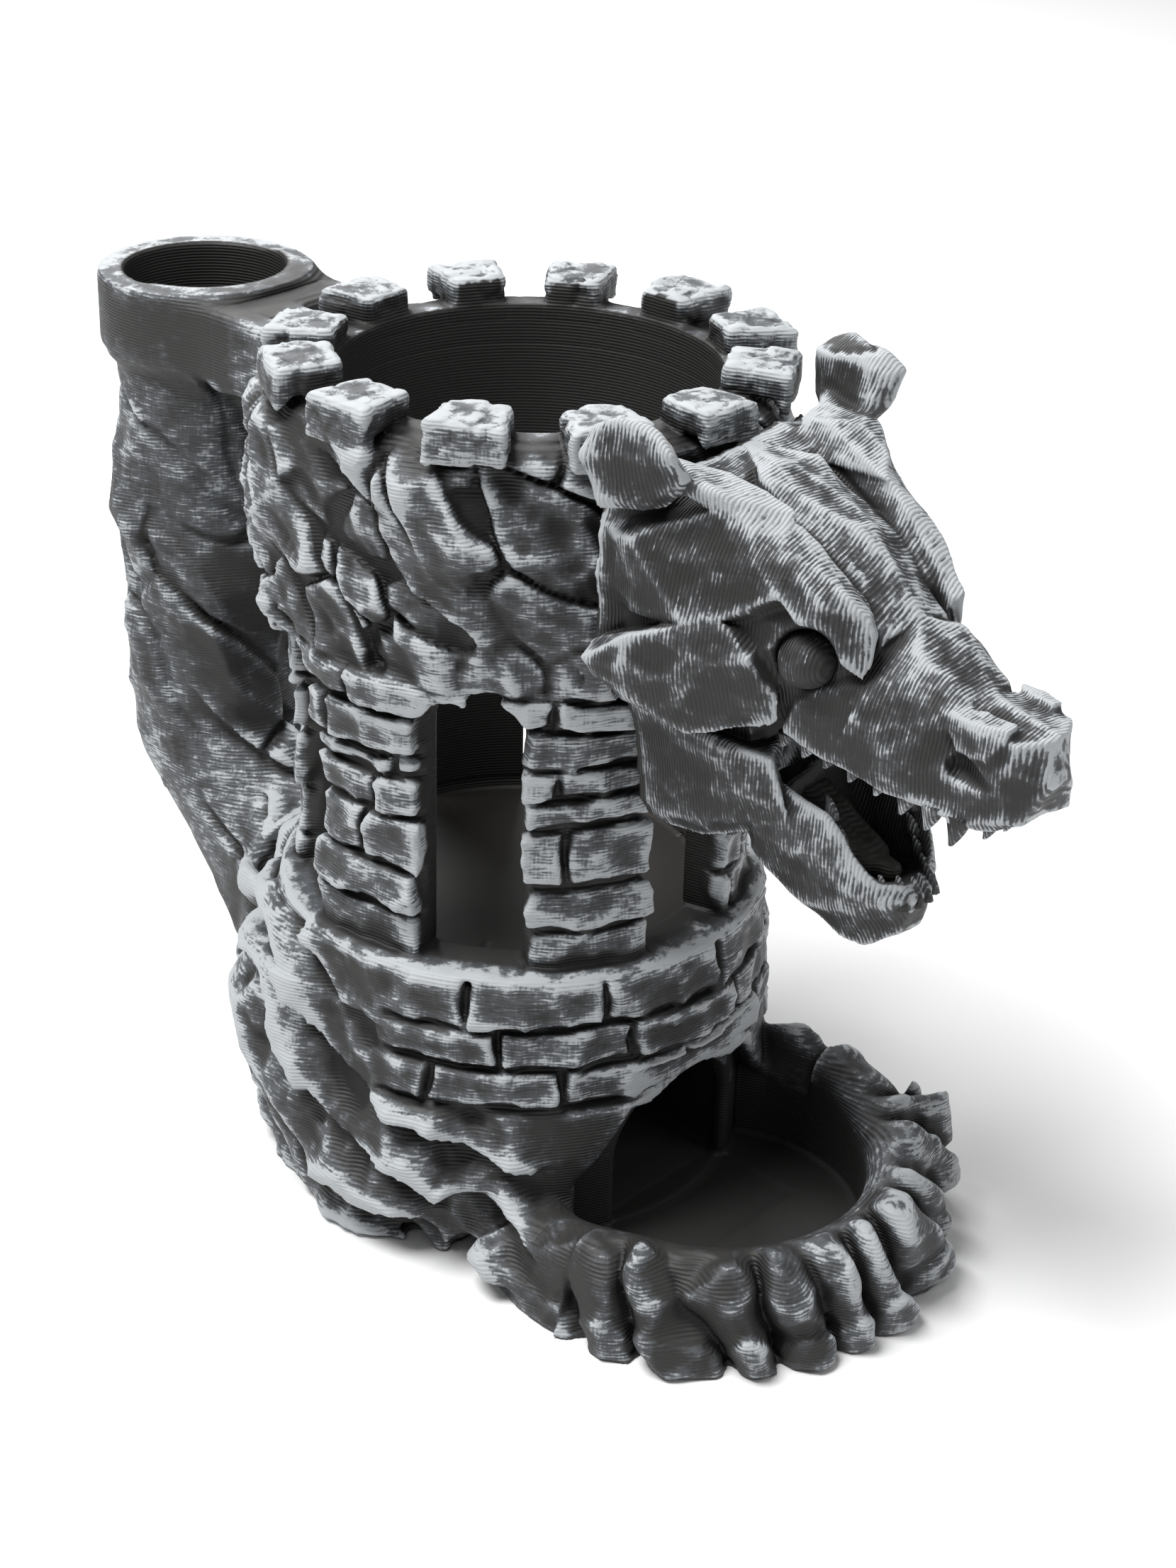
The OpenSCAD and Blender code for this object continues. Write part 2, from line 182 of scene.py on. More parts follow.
class Clay:
    """A block of voxels from low to high, each step mm wide, that hold the distance to a surface."""

    def __init__(self, low, high, step):
        self.low = np.array(low, np.float32)
        self.step = step
        self.count = np.ceil((np.array(high) - self.low) / step).astype(int) + 1
        self.d = np.full(self.count, FAR, np.float32)

    def window(self, low, high):
        """The part of the block between two corners: its slices and its x, y and z."""
        start = np.floor((np.array(low) - self.low) / self.step).astype(int)
        stop = np.ceil((np.array(high) - self.low) / self.step).astype(int) + 1
        start = np.clip(start, 0, self.count - 1)
        stop = np.clip(stop, start + 1, self.count)
        part = tuple(slice(a, b) for a, b in zip(start, stop))
        axes = [np.arange(a, b, dtype=np.float32) * self.step + o for a, b, o in zip(start, stop, self.low)]
        return part, axes[0][:, None, None], axes[1][None, :, None], axes[2][None, None, :]

    def add(self, form, low, high, blend=0.0):
        """Joins a form on, working only between two corners."""
        part, x, y, z = self.window(low, high)
        self.d[part] = join(self.d[part], form(x, y, z), blend)

    def cut(self, form, low, high, blend=0.0):
        """Takes a form away, working only between two corners."""
        part, x, y, z = self.window(low, high)
        self.d[part] = -join(-self.d[part], form(x, y, z), blend)

    def press(self, relief, low, high, depth=BAND):
        """Adds relief(points), in mm outwards, to the surface inside a box."""
        part, x, y, z = self.window(low, high)
        block = self.d[part]
        spots = np.nonzero(np.abs(block) < depth)
        points = np.stack([x[spots[0], 0, 0], y[0, spots[1], 0], z[0, 0, spots[2]]], 1)
        block[spots] -= relief(points)

    def soften(self, low, high, radius):
        """Rounds every edge inside a box."""
        part = self.window(low, high)[0]
        self.d[part] = blurred(self.d[part], radius, self.step)

    def look_up(self, field, points):
        """Values of a field of this block at points, by blending the eight nearest voxels."""
        q = np.clip((points - self.low) / self.step, 0, self.count - 1.001)
        cell = q.astype(np.int32)
        t = (q - cell).astype(np.float32)
        total = np.zeros(len(points), np.float32)
        for corner in range(8):
            pick = [corner & 1, corner >> 1 & 1, corner >> 2 & 1]
            weight = np.ones(len(points), np.float32)
            for axis in range(3):
                weight *= t[:, axis] if pick[axis] else 1 - t[:, axis]
            total += weight * field[tuple(cell[:, axis] + pick[axis] for axis in range(3))]
        return total


def join(a, b, blend):
    """Union of two distances, with a fillet of the given width where they meet."""
    low = np.minimum(a, b)
    if blend:
        low = low - np.maximum(blend - np.abs(a - b), 0) ** 2 / (4 * blend)
    return low.astype(np.float32)


def blurred(field, radius, step):
    """Box blur, twice along each axis."""
    half = max(1, round(radius / step))
    for axis in (0, 1, 2):
        for _ in range(2):
            pad = [(0, 0)] * 3
            pad[axis] = (half + 1, half)
            run = np.cumsum(np.pad(field, pad, mode="edge"), axis=axis, dtype=np.float32)
            width = 2 * half + 1
            ahead = [slice(None)] * 3
            behind = [slice(None)] * 3
            ahead[axis] = slice(width, None)
            behind[axis] = slice(None, -width)
            field = (run[tuple(ahead)] - run[tuple(behind)]) / width
    return field


# Plain forms. Each returns a function of x, y and z.


def post(cx, cy, r, low, high):
    """An upright round post between two heights."""
    return lambda x, y, z: np.maximum(np.hypot(x - cx, y - cy) - r, np.maximum(low - z, z - high))


def rod(a, b, ra, rb):
    """A round bar from a to b, with radii ra and rb and round ends."""
    a, b = np.array(a, float), np.array(b, float)
    along = b - a
    length2 = float(along @ along)

    def form(x, y, z):
        t = ((x - a[0]) * along[0] + (y - a[1]) * along[1] + (z - a[2]) * along[2]) / length2
        t = np.clip(t, 0, 1)
        gap2 = (x - a[0] - t * along[0]) ** 2 + (y - a[1] - t * along[1]) ** 2
        gap2 = gap2 + (z - a[2] - t * along[2]) ** 2
        return np.sqrt(gap2) - (ra + (rb - ra) * t)

    return form


def slab(low, high, corner=0.0):
    """A box with rounded edges."""
    middle = (np.array(low) + np.array(high)) / 2
    half = (np.array(high) - np.array(low)) / 2 - corner

    def form(x, y, z):
        qx, qy, qz = abs(x - middle[0]) - half[0], abs(y - middle[1]) - half[1], abs(z - middle[2]) - half[2]
        outside = np.sqrt(np.maximum(qx, 0) ** 2 + np.maximum(qy, 0) ** 2 + np.maximum(qz, 0) ** 2)
        return outside + np.minimum(np.maximum(np.maximum(qx, qy), qz), 0) - corner

    return form


def table(*pairs):
    """A curve through (z, radius) pairs."""
    zs, rs = zip(*pairs)
    return lambda z: np.interp(z, zs, rs).astype(np.float32)


def from_merlon(x, y):
    """How far the direction of x, y is from the middle of the nearest merlon, in degrees."""
    return np.abs((np.degrees(np.arctan2(y, x)) + 90 + 15) % 30 - 15)


def off_angle(x, y, degrees):
    """How far the direction of x, y is from an angle, in degrees, -180..180."""
    return (np.degrees(np.arctan2(y, x)) - degrees + 180) % 360 - 180


# ---- the tower print ----

WINDOW_ANGLES = [-90 + 60 * k for k in range(6)]
MERLON_ANGLES = [-90 + 30 * k for k in range(12)]
MERLON_DEG = 17.0
WINDOW_DEG = 27.0
WINDOW_HALF = WINDOW_R * math.sin(math.radians(WINDOW_DEG / 2))
PILLAR_JOINTS = [61.4, 69.0, 77.8, 88.4, 96.3, 101.0, 108.6, 116.2]

wall_profile = table((96, 42.4), (104, 43.6), (110, 44.8), (120, 46.2), (145, 47.4), (154, 46.4),
                     (157.5, 44.6), (159.5, 40.5), (160.2, 36.0), (161.5, 20.0))
drum_profile = table((-2, 41.0), (0, 43.5), (6, 45.0), (14, 47.0), (24, 47.6), (33, 46.6),
                     (60, 46.6), (61.6, 45.6), (62.6, 42.0), (64, 20.0))
column_profile = table((55, 19.0), (70, 19.6), (92, 20.2), (125, 20.0), (BRIDGE_Z, 19.8),
                       (BRIDGE_Z + 2.5, 20.6), (157.5, 20.6), (160, 20.0))


def tray_angle(x, y):
    """Direction from the middle of the tray, in degrees."""
    return np.degrees(np.arctan2(y - TRAY_Y, x))


def wall_form(x, y, z):
    """The upper wall, swelling towards the bridge on both sides."""
    swell = np.exp(-((np.abs(off_angle(x, y, 90)) - 42) / 24) ** 2) * ease(106, 128, z) * 4.2
    return np.maximum(np.hypot(x, y) - wall_profile(z) - swell * ease(161, 152, z), 96 - z)


def drum_form(x, y, z):
    """The drum, a little fuller on the right."""
    bulge = 1.8 * np.exp(-(off_angle(x, y, 0) / 50) ** 2) * ease(26, 36, z) * ease(60, 42, z)
    return np.maximum(np.hypot(x, y) - drum_profile(z) - bulge, -z)


def merlon_form(angle, seed):
    """One merlon: a wedge of stone with worn edges, each a little different."""
    r = np.random.default_rng(seed)
    a = math.radians(angle + r.uniform(-0.8, 0.8))
    top = MERLON_TOP + r.uniform(-0.7, 0.5)
    r_out = MERLON_R + r.uniform(-1.0, 0.3)
    spread = math.radians(MERLON_DEG / 2 + r.uniform(-0.5, 0.5))
    lean, tip = r.uniform(-0.05, 0.05, 2)

    def form(x, y, z):
        u = x * math.cos(a) + y * math.sin(a)
        v = y * math.cos(a) - x * math.sin(a)
        upper = z - top + lean * v + tip * (u - MERLON_MIDDLE)
        lower = 156.4 + 3.0 * ease(46.5, 43.5, u) - z
        qx = np.maximum(u - r_out, CAN_R + 0.3 - u)
        qy = np.abs(v) - (u * math.sin(spread) + 0.2)
        qz = np.maximum(upper, lower)
        worn = 1.3
        outside = np.sqrt(sum(np.maximum(q + worn, 0) ** 2 for q in (qx, qy, qz)))
        return outside + np.minimum(np.maximum(np.maximum(qx, qy), qz) + worn, 0) - worn

    return form


def tray_rim_form(x, y, z):
    """The thick rock rim round the tray, low at the front left and higher on the right."""
    phi = tray_angle(x, y)
    rise = 7.0 * ease(-45, 5, phi) * ease(110, 70, phi)
    rise = rise + 5.0 * ease(150, 200, np.where(phi < 0, phi + 360, phi))
    rise = rise * ease(0, 1, np.hypot(x, y - TRAY_Y) / 10)
    across = np.hypot(x, y - TRAY_Y) - 34.5
    return np.sqrt(across ** 2 + (np.maximum(z - 8 - rise, 0)) ** 2 + np.maximum(7 - z, 0) ** 2 * 0.2) - 7.2


TRAY_ROCKS = [
    # the tall rock at the back right
    [(30.5, -42, 29.5), (34.5, -45, 29.5), (30, -36, 14), (29, -35, 27), (33, -32, 24), (29.5, -47, 16),
     (33, -57, 18.5), (38, -58, 17.5), (45, -49, 9), (42, -37, 12), (47, -43, 3), (30, -34, 3),
     (30, -56, 3), (43, -60, 3)],
    # the boulder in front of it
    [(36, -64, 21.5), (41, -65, 23), (43, -71, 20.5), (37, -73, 19), (32, -66, 15), (33, -77, 12),
     (46.5, -65, 13), (43.5, -75, 8), (45.5, -63, 3), (38, -79, 2), (31, -60, 4)],
    # the shoulder between the tray's left edge and the drum
    [(-30, -33, 19), (-36, -30, 20), (-30, -42, 13), (-36, -46, 12), (-40, -36, 13), (-41, -30, 4),
     (-39.5, -44, 2), (-30, -30, 3), (-30, -48, 3)],
]


def add_tray_rocks(clay):
    """Big rocks on the tray's rim; those on the left are made as mirrored ones."""
    for points in TRAY_ROCKS:
        side = 1 if points[0][0] > 0 else -1
        form, low, high = faceted([(abs(x), y, z) for x, y, z in points], side)
        clay.add(form, low, high, 2.0)


# Angle that one claw takes up round the tray
CLAW_DEG = 16.5


def claw_relief(p):
    """Claws of rock that drape over the rim: broad ridges, each leaning a little, with deep
    grooves between."""
    x, y, z = p[:, 0], p[:, 1], p[:, 2]
    out = np.hypot(x, y - TRAY_Y)
    phi = tray_angle(x, y) + 360
    lean = 0.5 * (z - 8) + 6.0 * blobs(p, 20.0, 4.0) + 1.5 * blobs(p, 6.0, 5.0)
    share = (phi + lean + 3.5 * np.sin(phi * 0.071 + 1.0) + 2.0 * np.sin(phi * 0.19)) / CLAW_DEG
    claw = np.floor(share).astype(int)
    groove = np.abs(share - claw - 0.5) * 2
    size = LATTICE[claw & 63, 7, 11]
    ridge = 1 - groove ** (1.6 + size)
    worn = np.maximum(scoops(warped(p, 9.0, 2.0, 7.0), 7.5, 3.0, 1.3) - 0.3, -0.7)
    front = ease(362, 328, phi)
    claws = front * (5.4 * (0.7 + 0.45 * size) * (ridge - 0.55) + 1.6 * (size - 0.5))
    return ease(31.5, 38, out) * claws + ease(32.5, 36, out) * (2.2 - 0.5 * (1 - front)) * worn


def unrolled(p, centre_y, radius, seam):
    """Points laid out flat: distance round a centre line, distance from it, and height.
    The seam is the direction, in degrees, at which the layout starts."""
    turn = np.radians((np.degrees(np.arctan2(p[:, 1] - centre_y, p[:, 0])) - seam) % 360)
    return np.stack([turn * radius, np.hypot(p[:, 0], p[:, 1] - centre_y), p[:, 2]], 1).astype(np.float32)


def leaning(q, stretch):
    """Turns an unrolled layout by 45 degrees and stretches patterns down the slope."""
    down = (q[:, 0] - q[:, 2]) * 0.71 * stretch
    across = (q[:, 0] + q[:, 2]) * 0.71
    return np.stack([down, across, q[:, 1] * 0.25], 1).astype(np.float32)


def rock_relief(q):
    """Split and weathered rock: slanting scooped faces that meet in sharp ridges, and deep cracks."""
    slope = leaning(q, 0.62)
    faces = scoops(warped(slope, 15.0, 4.5), 11.5, slant=1.4)
    small = scoops(warped(slope, 6.0, 1.6, 3.0), 5.6, 9.0, 1.3)
    lumps, crack = chips(warped(slope, 10.0, 4.5, 5.0), 13.0, 4.0)
    open_crack = ease(-0.25, 0.25, blobs(q, 13.0, 9.0))
    relief = 5.0 * (faces - 0.12) + 2.3 * (small - 0.15) + 1.2 * lumps + 1.2 * blobs(q, 18.0)
    return relief - 3.4 * open_crack * np.exp(-((crack / 0.06) ** 2))


def column_relief(q):
    """Tall slanting planes with folds between them and a few long cracks."""
    slope = leaning(q, 0.5)
    faces = scoops(warped(slope, 22.0, 6.0, 21.0), 16.0, 5.0, 1.5)
    small = scoops(warped(slope, 8.0, 2.0, 13.0), 7.0, 19.0, 0.8)
    lumps, crack = chips(warped(slope, 16.0, 7.0, 15.0), 16.0, 24.0)
    open_crack = ease(-0.7, -0.1, blobs(q, 17.0, 19.0))
    relief = 5.8 * (faces - 0.1) + 1.9 * (small - 0.4) + 1.2 * lumps
    return np.clip(relief, -2.4, 3.4) - 3.2 * open_crack * np.exp(-((crack / 0.07) ** 2))


def strata_relief(p):
    """Weathered layers that dip to the front: each ledge juts out over an undercut, slopes back
    above and hangs down in points; here and there a ledge is missing."""
    q = unrolled(p, 0.0, LAYOUT_R, 90.0)
    tall = np.float32([1, 1, 0.3])
    level = q[:, 2] + 0.22 * q[:, 0] + 9.0 * blobs(p * tall, 36.0, 2.0) + 3.0 * blobs(p, 13.0, 6.0)
    points = np.abs(blobs(p * tall, 15.0, 5.0))
    level -= 10.0 * points + 0.8 * blobs(p, 4.0, 3.0)
    t = np.mod(level / 13.0, 1.0)
    reach = ease(-0.7, 0.5, blobs(p * np.float32([1, 1, 0.6]), 17.0, 11.0))
    ledge = 1.3 * reach * 5.8 * (ease(0.0, 0.055, t) - ease(0.1, 0.85, t)) - 2.2
    faces = scoops(warped(leaning(q, 0.6), 9.0, 2.4, 6.0), 9.0, 20.0, 1.3)
    small = scoops(warped(q, 6.0, 1.4, 8.0), 4.6, 12.0, 1.2)
    return np.maximum(ledge + 3.8 * (faces - 0.15) + 1.1 * (small - 0.18), -3.2)


def brick_relief(u, z, p, joints, length, seed):
    """Worn bricks: u runs along the course in mm, joints are the heights of the bed joints. The
    joints are 2 mm deep, and each brick stands out and leans a little differently."""
    z = z + 1.7 * blobs(p, 19.0, seed) + 0.4 * blobs(p, 4.0, seed + 1)
    u = u + 0.9 * blobs(p, 7.0, seed + 2)
    joints = np.array(joints, np.float32)
    course = np.clip(np.searchsorted(joints, z) - 1, 0, len(joints) - 2)
    bed = np.minimum(z - joints[course], joints[course + 1] - z)
    shift = LATTICE[course, 3 + int(seed) % 50, 5] * length
    step = (u + shift) / length
    brick = np.floor(step).astype(int)
    head = (0.5 - np.abs(step - brick - 0.5)) * length
    edge = np.minimum(bed, head)
    chance = LATTICE[brick & 63, course, 9 + int(seed) % 40]
    chance2 = LATTICE[brick & 63, course, 21]
    faces = scoops(warped(p, 5.0, 1.2, seed), 7.0, seed, 1.2)
    worn = 0.15 * blobs(p, 2.6, 8.0) + 1.7 * (faces - 0.2)
    tilt = (chance2 - 0.5) * (z - joints[course] - 4) / 4
    return -2.0 * (1 - ease(0.2, 1.15, edge + 0.5 * worn)) + 1.5 * (chance - 0.5) + 0.9 * tilt + worn


def pillar_joints(k):
    """Heights of the bed joints of one pillar, each moved a little."""
    r = np.random.default_rng(40 + k)
    return [SILL_Z - 2] + [j + r.uniform(-1.3, 1.3) for j in PILLAR_JOINTS[1:]] + [130]


def tower_relief(p):
    """Relief of the tower's outside, zone by zone, fading from one to the next."""
    x, y, z = p[:, 0], p[:, 1], p[:, 2]
    reach = np.hypot(x, y)
    turn = np.degrees(np.arctan2(y, x))
    total = np.zeros(len(p), np.float32)
    column = ease(52, 62, y)
    wall = ease(114.5, 118.0, z + 1.8 * blobs(p, 9.0)) * ease(160.2, 154.0, z)
    wall = wall * ease(38, 42, reach) * (1 - column)
    part = wall > 0.01
    total[part] += wall[part] * rock_relief(unrolled(p[part], 0.0, LAYOUT_R, 90.0))
    tall = column * ease(146, 139, z + 2.0 * blobs(p, 10.0)) * ease(-2, 3, z)
    part = tall > 0.01
    total[part] += tall[part] * column_relief(unrolled(p[part], COLUMN_Y, 20.0, -90.0))
    tray = ease(-40, -46, y) * ease(33, 28, z) * ease(-0.5, 1.5, z)
    part = tray > 0.01
    total[part] += tray[part] * claw_relief(p[part])
    # Layers of rock on the left and back of the base, bricks on the front and right
    wander = turn + 9 * blobs(p, 20.0, 1.0)
    drum = (1 - column) * (1 - tray)
    bricked = drum * ease(33.5, 35.0, z) * ease(-176, -164, wander) * ease(88, 76, wander)
    bricked = bricked * ease(SILL_Z, SILL_Z - 2.0, z)
    layered = drum * (1 - bricked) * ease(SILL_Z, SILL_Z - 3.5, z) * ease(-0.5, 1.5, z)
    # The smooth face beside the arch has hardly any layers
    calm = 0.04 + 0.96 * np.clip(ease(-130, -148, wander) + ease(-44, -26, wander), 0, 1)
    part = layered > 0.01
    total[part] += layered[part] * calm[part] * strata_relief(p[part])
    part = bricked > 0.01
    joints = [BASE_TOP, BASE_TOP + COURSE_H, BASE_TOP + 2 * COURSE_H, 80]
    along = np.radians(turn[part]) * DRUM_R
    total[part] += bricked[part] * brick_relief(along, z[part], p[part], joints, 25.0, 11)
    # Brick pillars
    piers = ease(61.6, 62.6, z) * ease(117.5, 115.0, z) * ease(37.5, 40.5, reach) * (1 - column)
    for k in range(6):
        middle = -120 + 60 * k
        off = (turn - middle + 180) % 360 - 180
        part = (piers > 0.01) & (np.abs(off) <= 30)
        along = np.radians(off[part]) * 42 + 100
        bricks = brick_relief(along, z[part], p[part], pillar_joints(k), 33.0, 20 + k)
        total[part] += piers[part] * bricks
    # Chipped tops on the merlons and a little unevenness everywhere else
    tops = ease(157, 160, z) * (1 - column)
    small, crack = chips(warped(p, 4.0, 1.0, 2.0), 5.0, 31.0)
    total += tops * (0.45 * small - 0.35 * np.exp(-((crack / 0.12) ** 2)))
    return np.clip(total, -DEEPEST, DEEPEST)


TOWER_LOW, TOWER_HIGH = (-57, -100, -2), (57, 110, 168)


def spot_on_ring(angle, r):
    """The x and y of a point on a ring round the tower axis."""
    a = math.radians(angle)
    return np.array([r * math.cos(a), r * math.sin(a)])


def window_form(angle):
    """A round-headed opening through the wall."""

    def form(x, y, z):
        across = np.abs(np.radians(off_angle(x, y, angle))) * WINDOW_R
        opening = np.hypot(across, np.maximum(z - SPRING_Z, 0)) - WINDOW_HALF
        return np.maximum(np.maximum(opening, SILL_Z + 0.4 - z), 28 - np.hypot(x, y))

    return form


def column_form(x, y, z):
    """The hollow column behind the tower, from its elbow to its mouth."""
    return np.maximum(np.hypot(x, y - COLUMN_Y) - column_profile(z), np.maximum(58 - z, z - 158.6))


def head_space(x, y, z):
    """The plain face that the head sits against."""
    reach = np.where(z > HEAD_STEP_Z, MERLON_R, SEAT_R)
    return np.maximum(reach - np.hypot(x, y), (np.abs(off_angle(x, y, -90)) - 37) * 0.8)


def chamber_form(x, y, z):
    """The dice chamber under the can socket."""
    inside = slab((-CHANNEL_W + 0.4, -37, PLATE_Z), (CHANNEL_W - 0.4, 46, CEILING_Z), 1.5)
    return np.maximum(inside(x, y, z), np.hypot(x, y) - 42.0)


def arch_form(x, y, z):
    """The arch that the dice roll out through."""
    opening = np.hypot(x, np.maximum(z - 19, 0)) - (CHANNEL_W - 1.6)
    return np.maximum(np.maximum(opening, PLATE_Z - z), np.maximum(y + 34, -56 - y))


def tray_form(x, y, z):
    """The round hollow of the tray, which stops at the drum."""
    inside = np.hypot(x, y - TRAY_Y) - TRAY_R
    # Beside the arch the tray's wall runs into the drum under a slanting edge
    slant = (z - 32 + 1.35 * np.maximum(np.abs(x) - 16, 0)) * 0.6
    slant = np.where(y > -44, slant, PLATE_Z - z)
    return np.maximum(np.maximum(inside, PLATE_Z - z), np.maximum(DRUM_R - 2.2 - np.hypot(x, y), slant))


def ramp_form(x, y, z):
    """The floor of the chamber, which falls from the elbow to the arch."""
    floor = z - PLATE_Z - 0.3 - 9.5 * (y + 36) / 98
    return np.maximum(np.maximum(floor, np.abs(x) - CHANNEL_W), np.maximum(-36 - y, y - 60))


def chute(r, end_y):
    """The sloping bore, or the rock round it, from the bend down to a given y."""
    return rod((0, COLUMN_Y, BEND_Z), (0, end_y, BEND_Z + end_y - COLUMN_Y), r, r)


def sculpt_tower():
    """The whole tower print in one block of clay."""
    clay = Clay(TOWER_LOW, TOWER_HIGH, VOXEL)
    # The drum, with rougher rock round its left and back and under the column
    clay.add(drum_form, (-56, -56, -2), (56, 56, 64))
    clay.add(post(-3, 13, 39.5, 0, 45), (-56, -40, -2), (56, 56, 50), 8.0)
    clay.add(post(0, 44, 23, 0, 34), (-40, 10, -2), (40, 80, 42), 8.0)
    clay.add(rod((0, 85, 60), (0, 42, 19), 18.6, 22), (-36, 20, -2), (36, 108, 84), 6.0)
    # The column, the ring that becomes the arcade, the wall and the bridge
    clay.add(column_form, (-26, 60, 56), (26, 108, 163), 3.0)
    clay.add(post(0, 0, 42.4, 60, 112), (-50, -50, 58), (50, 50, 114))
    clay.add(wall_form, (-56, -56, 94), (56, 56, 163))
    clay.add(slab((-16.5, 36, BRIDGE_Z), (16.5, 84, 157.4), 2.5), (-26, 34, 134), (26, 90, 163), 5.0)
    # The tray's foot, its rim and the big rocks on it
    clay.add(post(0, TRAY_Y, 43.5, 0, 6), (-50, -98, -2), (50, 0, 9), 3.0)
    clay.add(tray_rim_form, (-52, -98, -2), (52, 0, 34), 3.0)
    add_tray_rocks(clay)
    for k, angle in enumerate(MERLON_ANGLES):
        spot = spot_on_ring(angle, MERLON_MIDDLE)
        clay.add(merlon_form(angle, 60 + k), (*(spot - 12), 152), (*(spot + 12), 168), 0.8)
    # The windows are open before the relief goes on, so that bricks wrap round the pillars' edges
    for angle in WINDOW_ANGLES:
        spot = spot_on_ring(angle, 38)
        clay.cut(window_form(angle), (*(spot - 17), 58), (*(spot + 17), 120), 0.6)
    clay.press(tower_relief, TOWER_LOW, TOWER_HIGH)
    # No crack goes right through a wall
    clay.add(post(0, COLUMN_Y, CHUTE_R + 1.4, BEND_Z, 157), (-22, 64, 58), (22, 108, 160), 2.0)
    clay.add(post(0, 0, CAN_R + 2.5, 118, 158), (-40, -40, 116), (40, 40, 160), 0.6)
    clay.add(chute(CHUTE_R + 1.6, 48), (-20, 30, 0), (20, 104, 80))
    clay.cut(head_space, (-34, -60, 84), (34, -30, 163), 0.8)
    # Smooth printed hollows
    clay.cut(post(0, 0, CAN_R, FLOOR_Z, 180), (-38, -38, 56), (38, 38, 168), 0.5)
    clay.cut(post(0, COLUMN_Y, CHUTE_R, BEND_Z, 180), (-20, 68, 58), (20, 106, 168), 0.5)
    clay.cut(chute(CHUTE_R, 40), (-20, 20, -2), (20, 104, 80))
    clay.cut(chamber_form, (-20, -40, 2), (20, 50, 58))
    clay.cut(arch_form, (-20, -58, 2), (20, -30, 40), 0.6)
    clay.cut(tray_form, (-34, -84, 2), (34, -20, 40), 2.2)
    clay.add(ramp_form, (-20, -40, -1), (20, 64, 20))
    # Flat underside, on the ground
    clay.cut(lambda x, y, z: z + 0 * x + 0 * y, (-57, -100, -3), (57, 110, 2))
    return clay


# ---- the head print ----


def faceted(points, side=0):
    """A convex form with flat faces through points given for the right side (x > 0).
    side 0 makes the whole form across the middle, 1 or -1 only that side's."""
    signs = (1, -1) if side == 0 else (side,)
    bm = bmesh.new()
    for p in points:
        for s in signs:
            bm.verts.new((p[0] * s, p[1], p[2]))
    hull = bmesh.ops.convex_hull(bm, input=bm.verts)
    bm.normal_update()
    middle = sum((v.co for v in bm.verts), Vector()) / len(bm.verts)
    planes = []
    for face in hull["geom"]:
        if isinstance(face, bmesh.types.BMFace) and face.is_valid:
            n = face.normal.copy()
            c = n.dot(face.verts[0].co)
            if n.dot(middle) > c:
                n, c = -n, -c
            if n.length > 0.5:
                planes.append((*n, c))
    bm.free()
    low = np.min([(p[0] * s, p[1], p[2]) for p in points for s in signs], axis=0) - 5
    high = np.max([(p[0] * s, p[1], p[2]) for p in points for s in signs], axis=0) + 5

    def form(x, y, z):
        d = np.float32(-99)
        for a, b, c, e in planes:
            d = np.maximum(d, a * x + b * y + c * z - e)
        return d

    return form, low, high


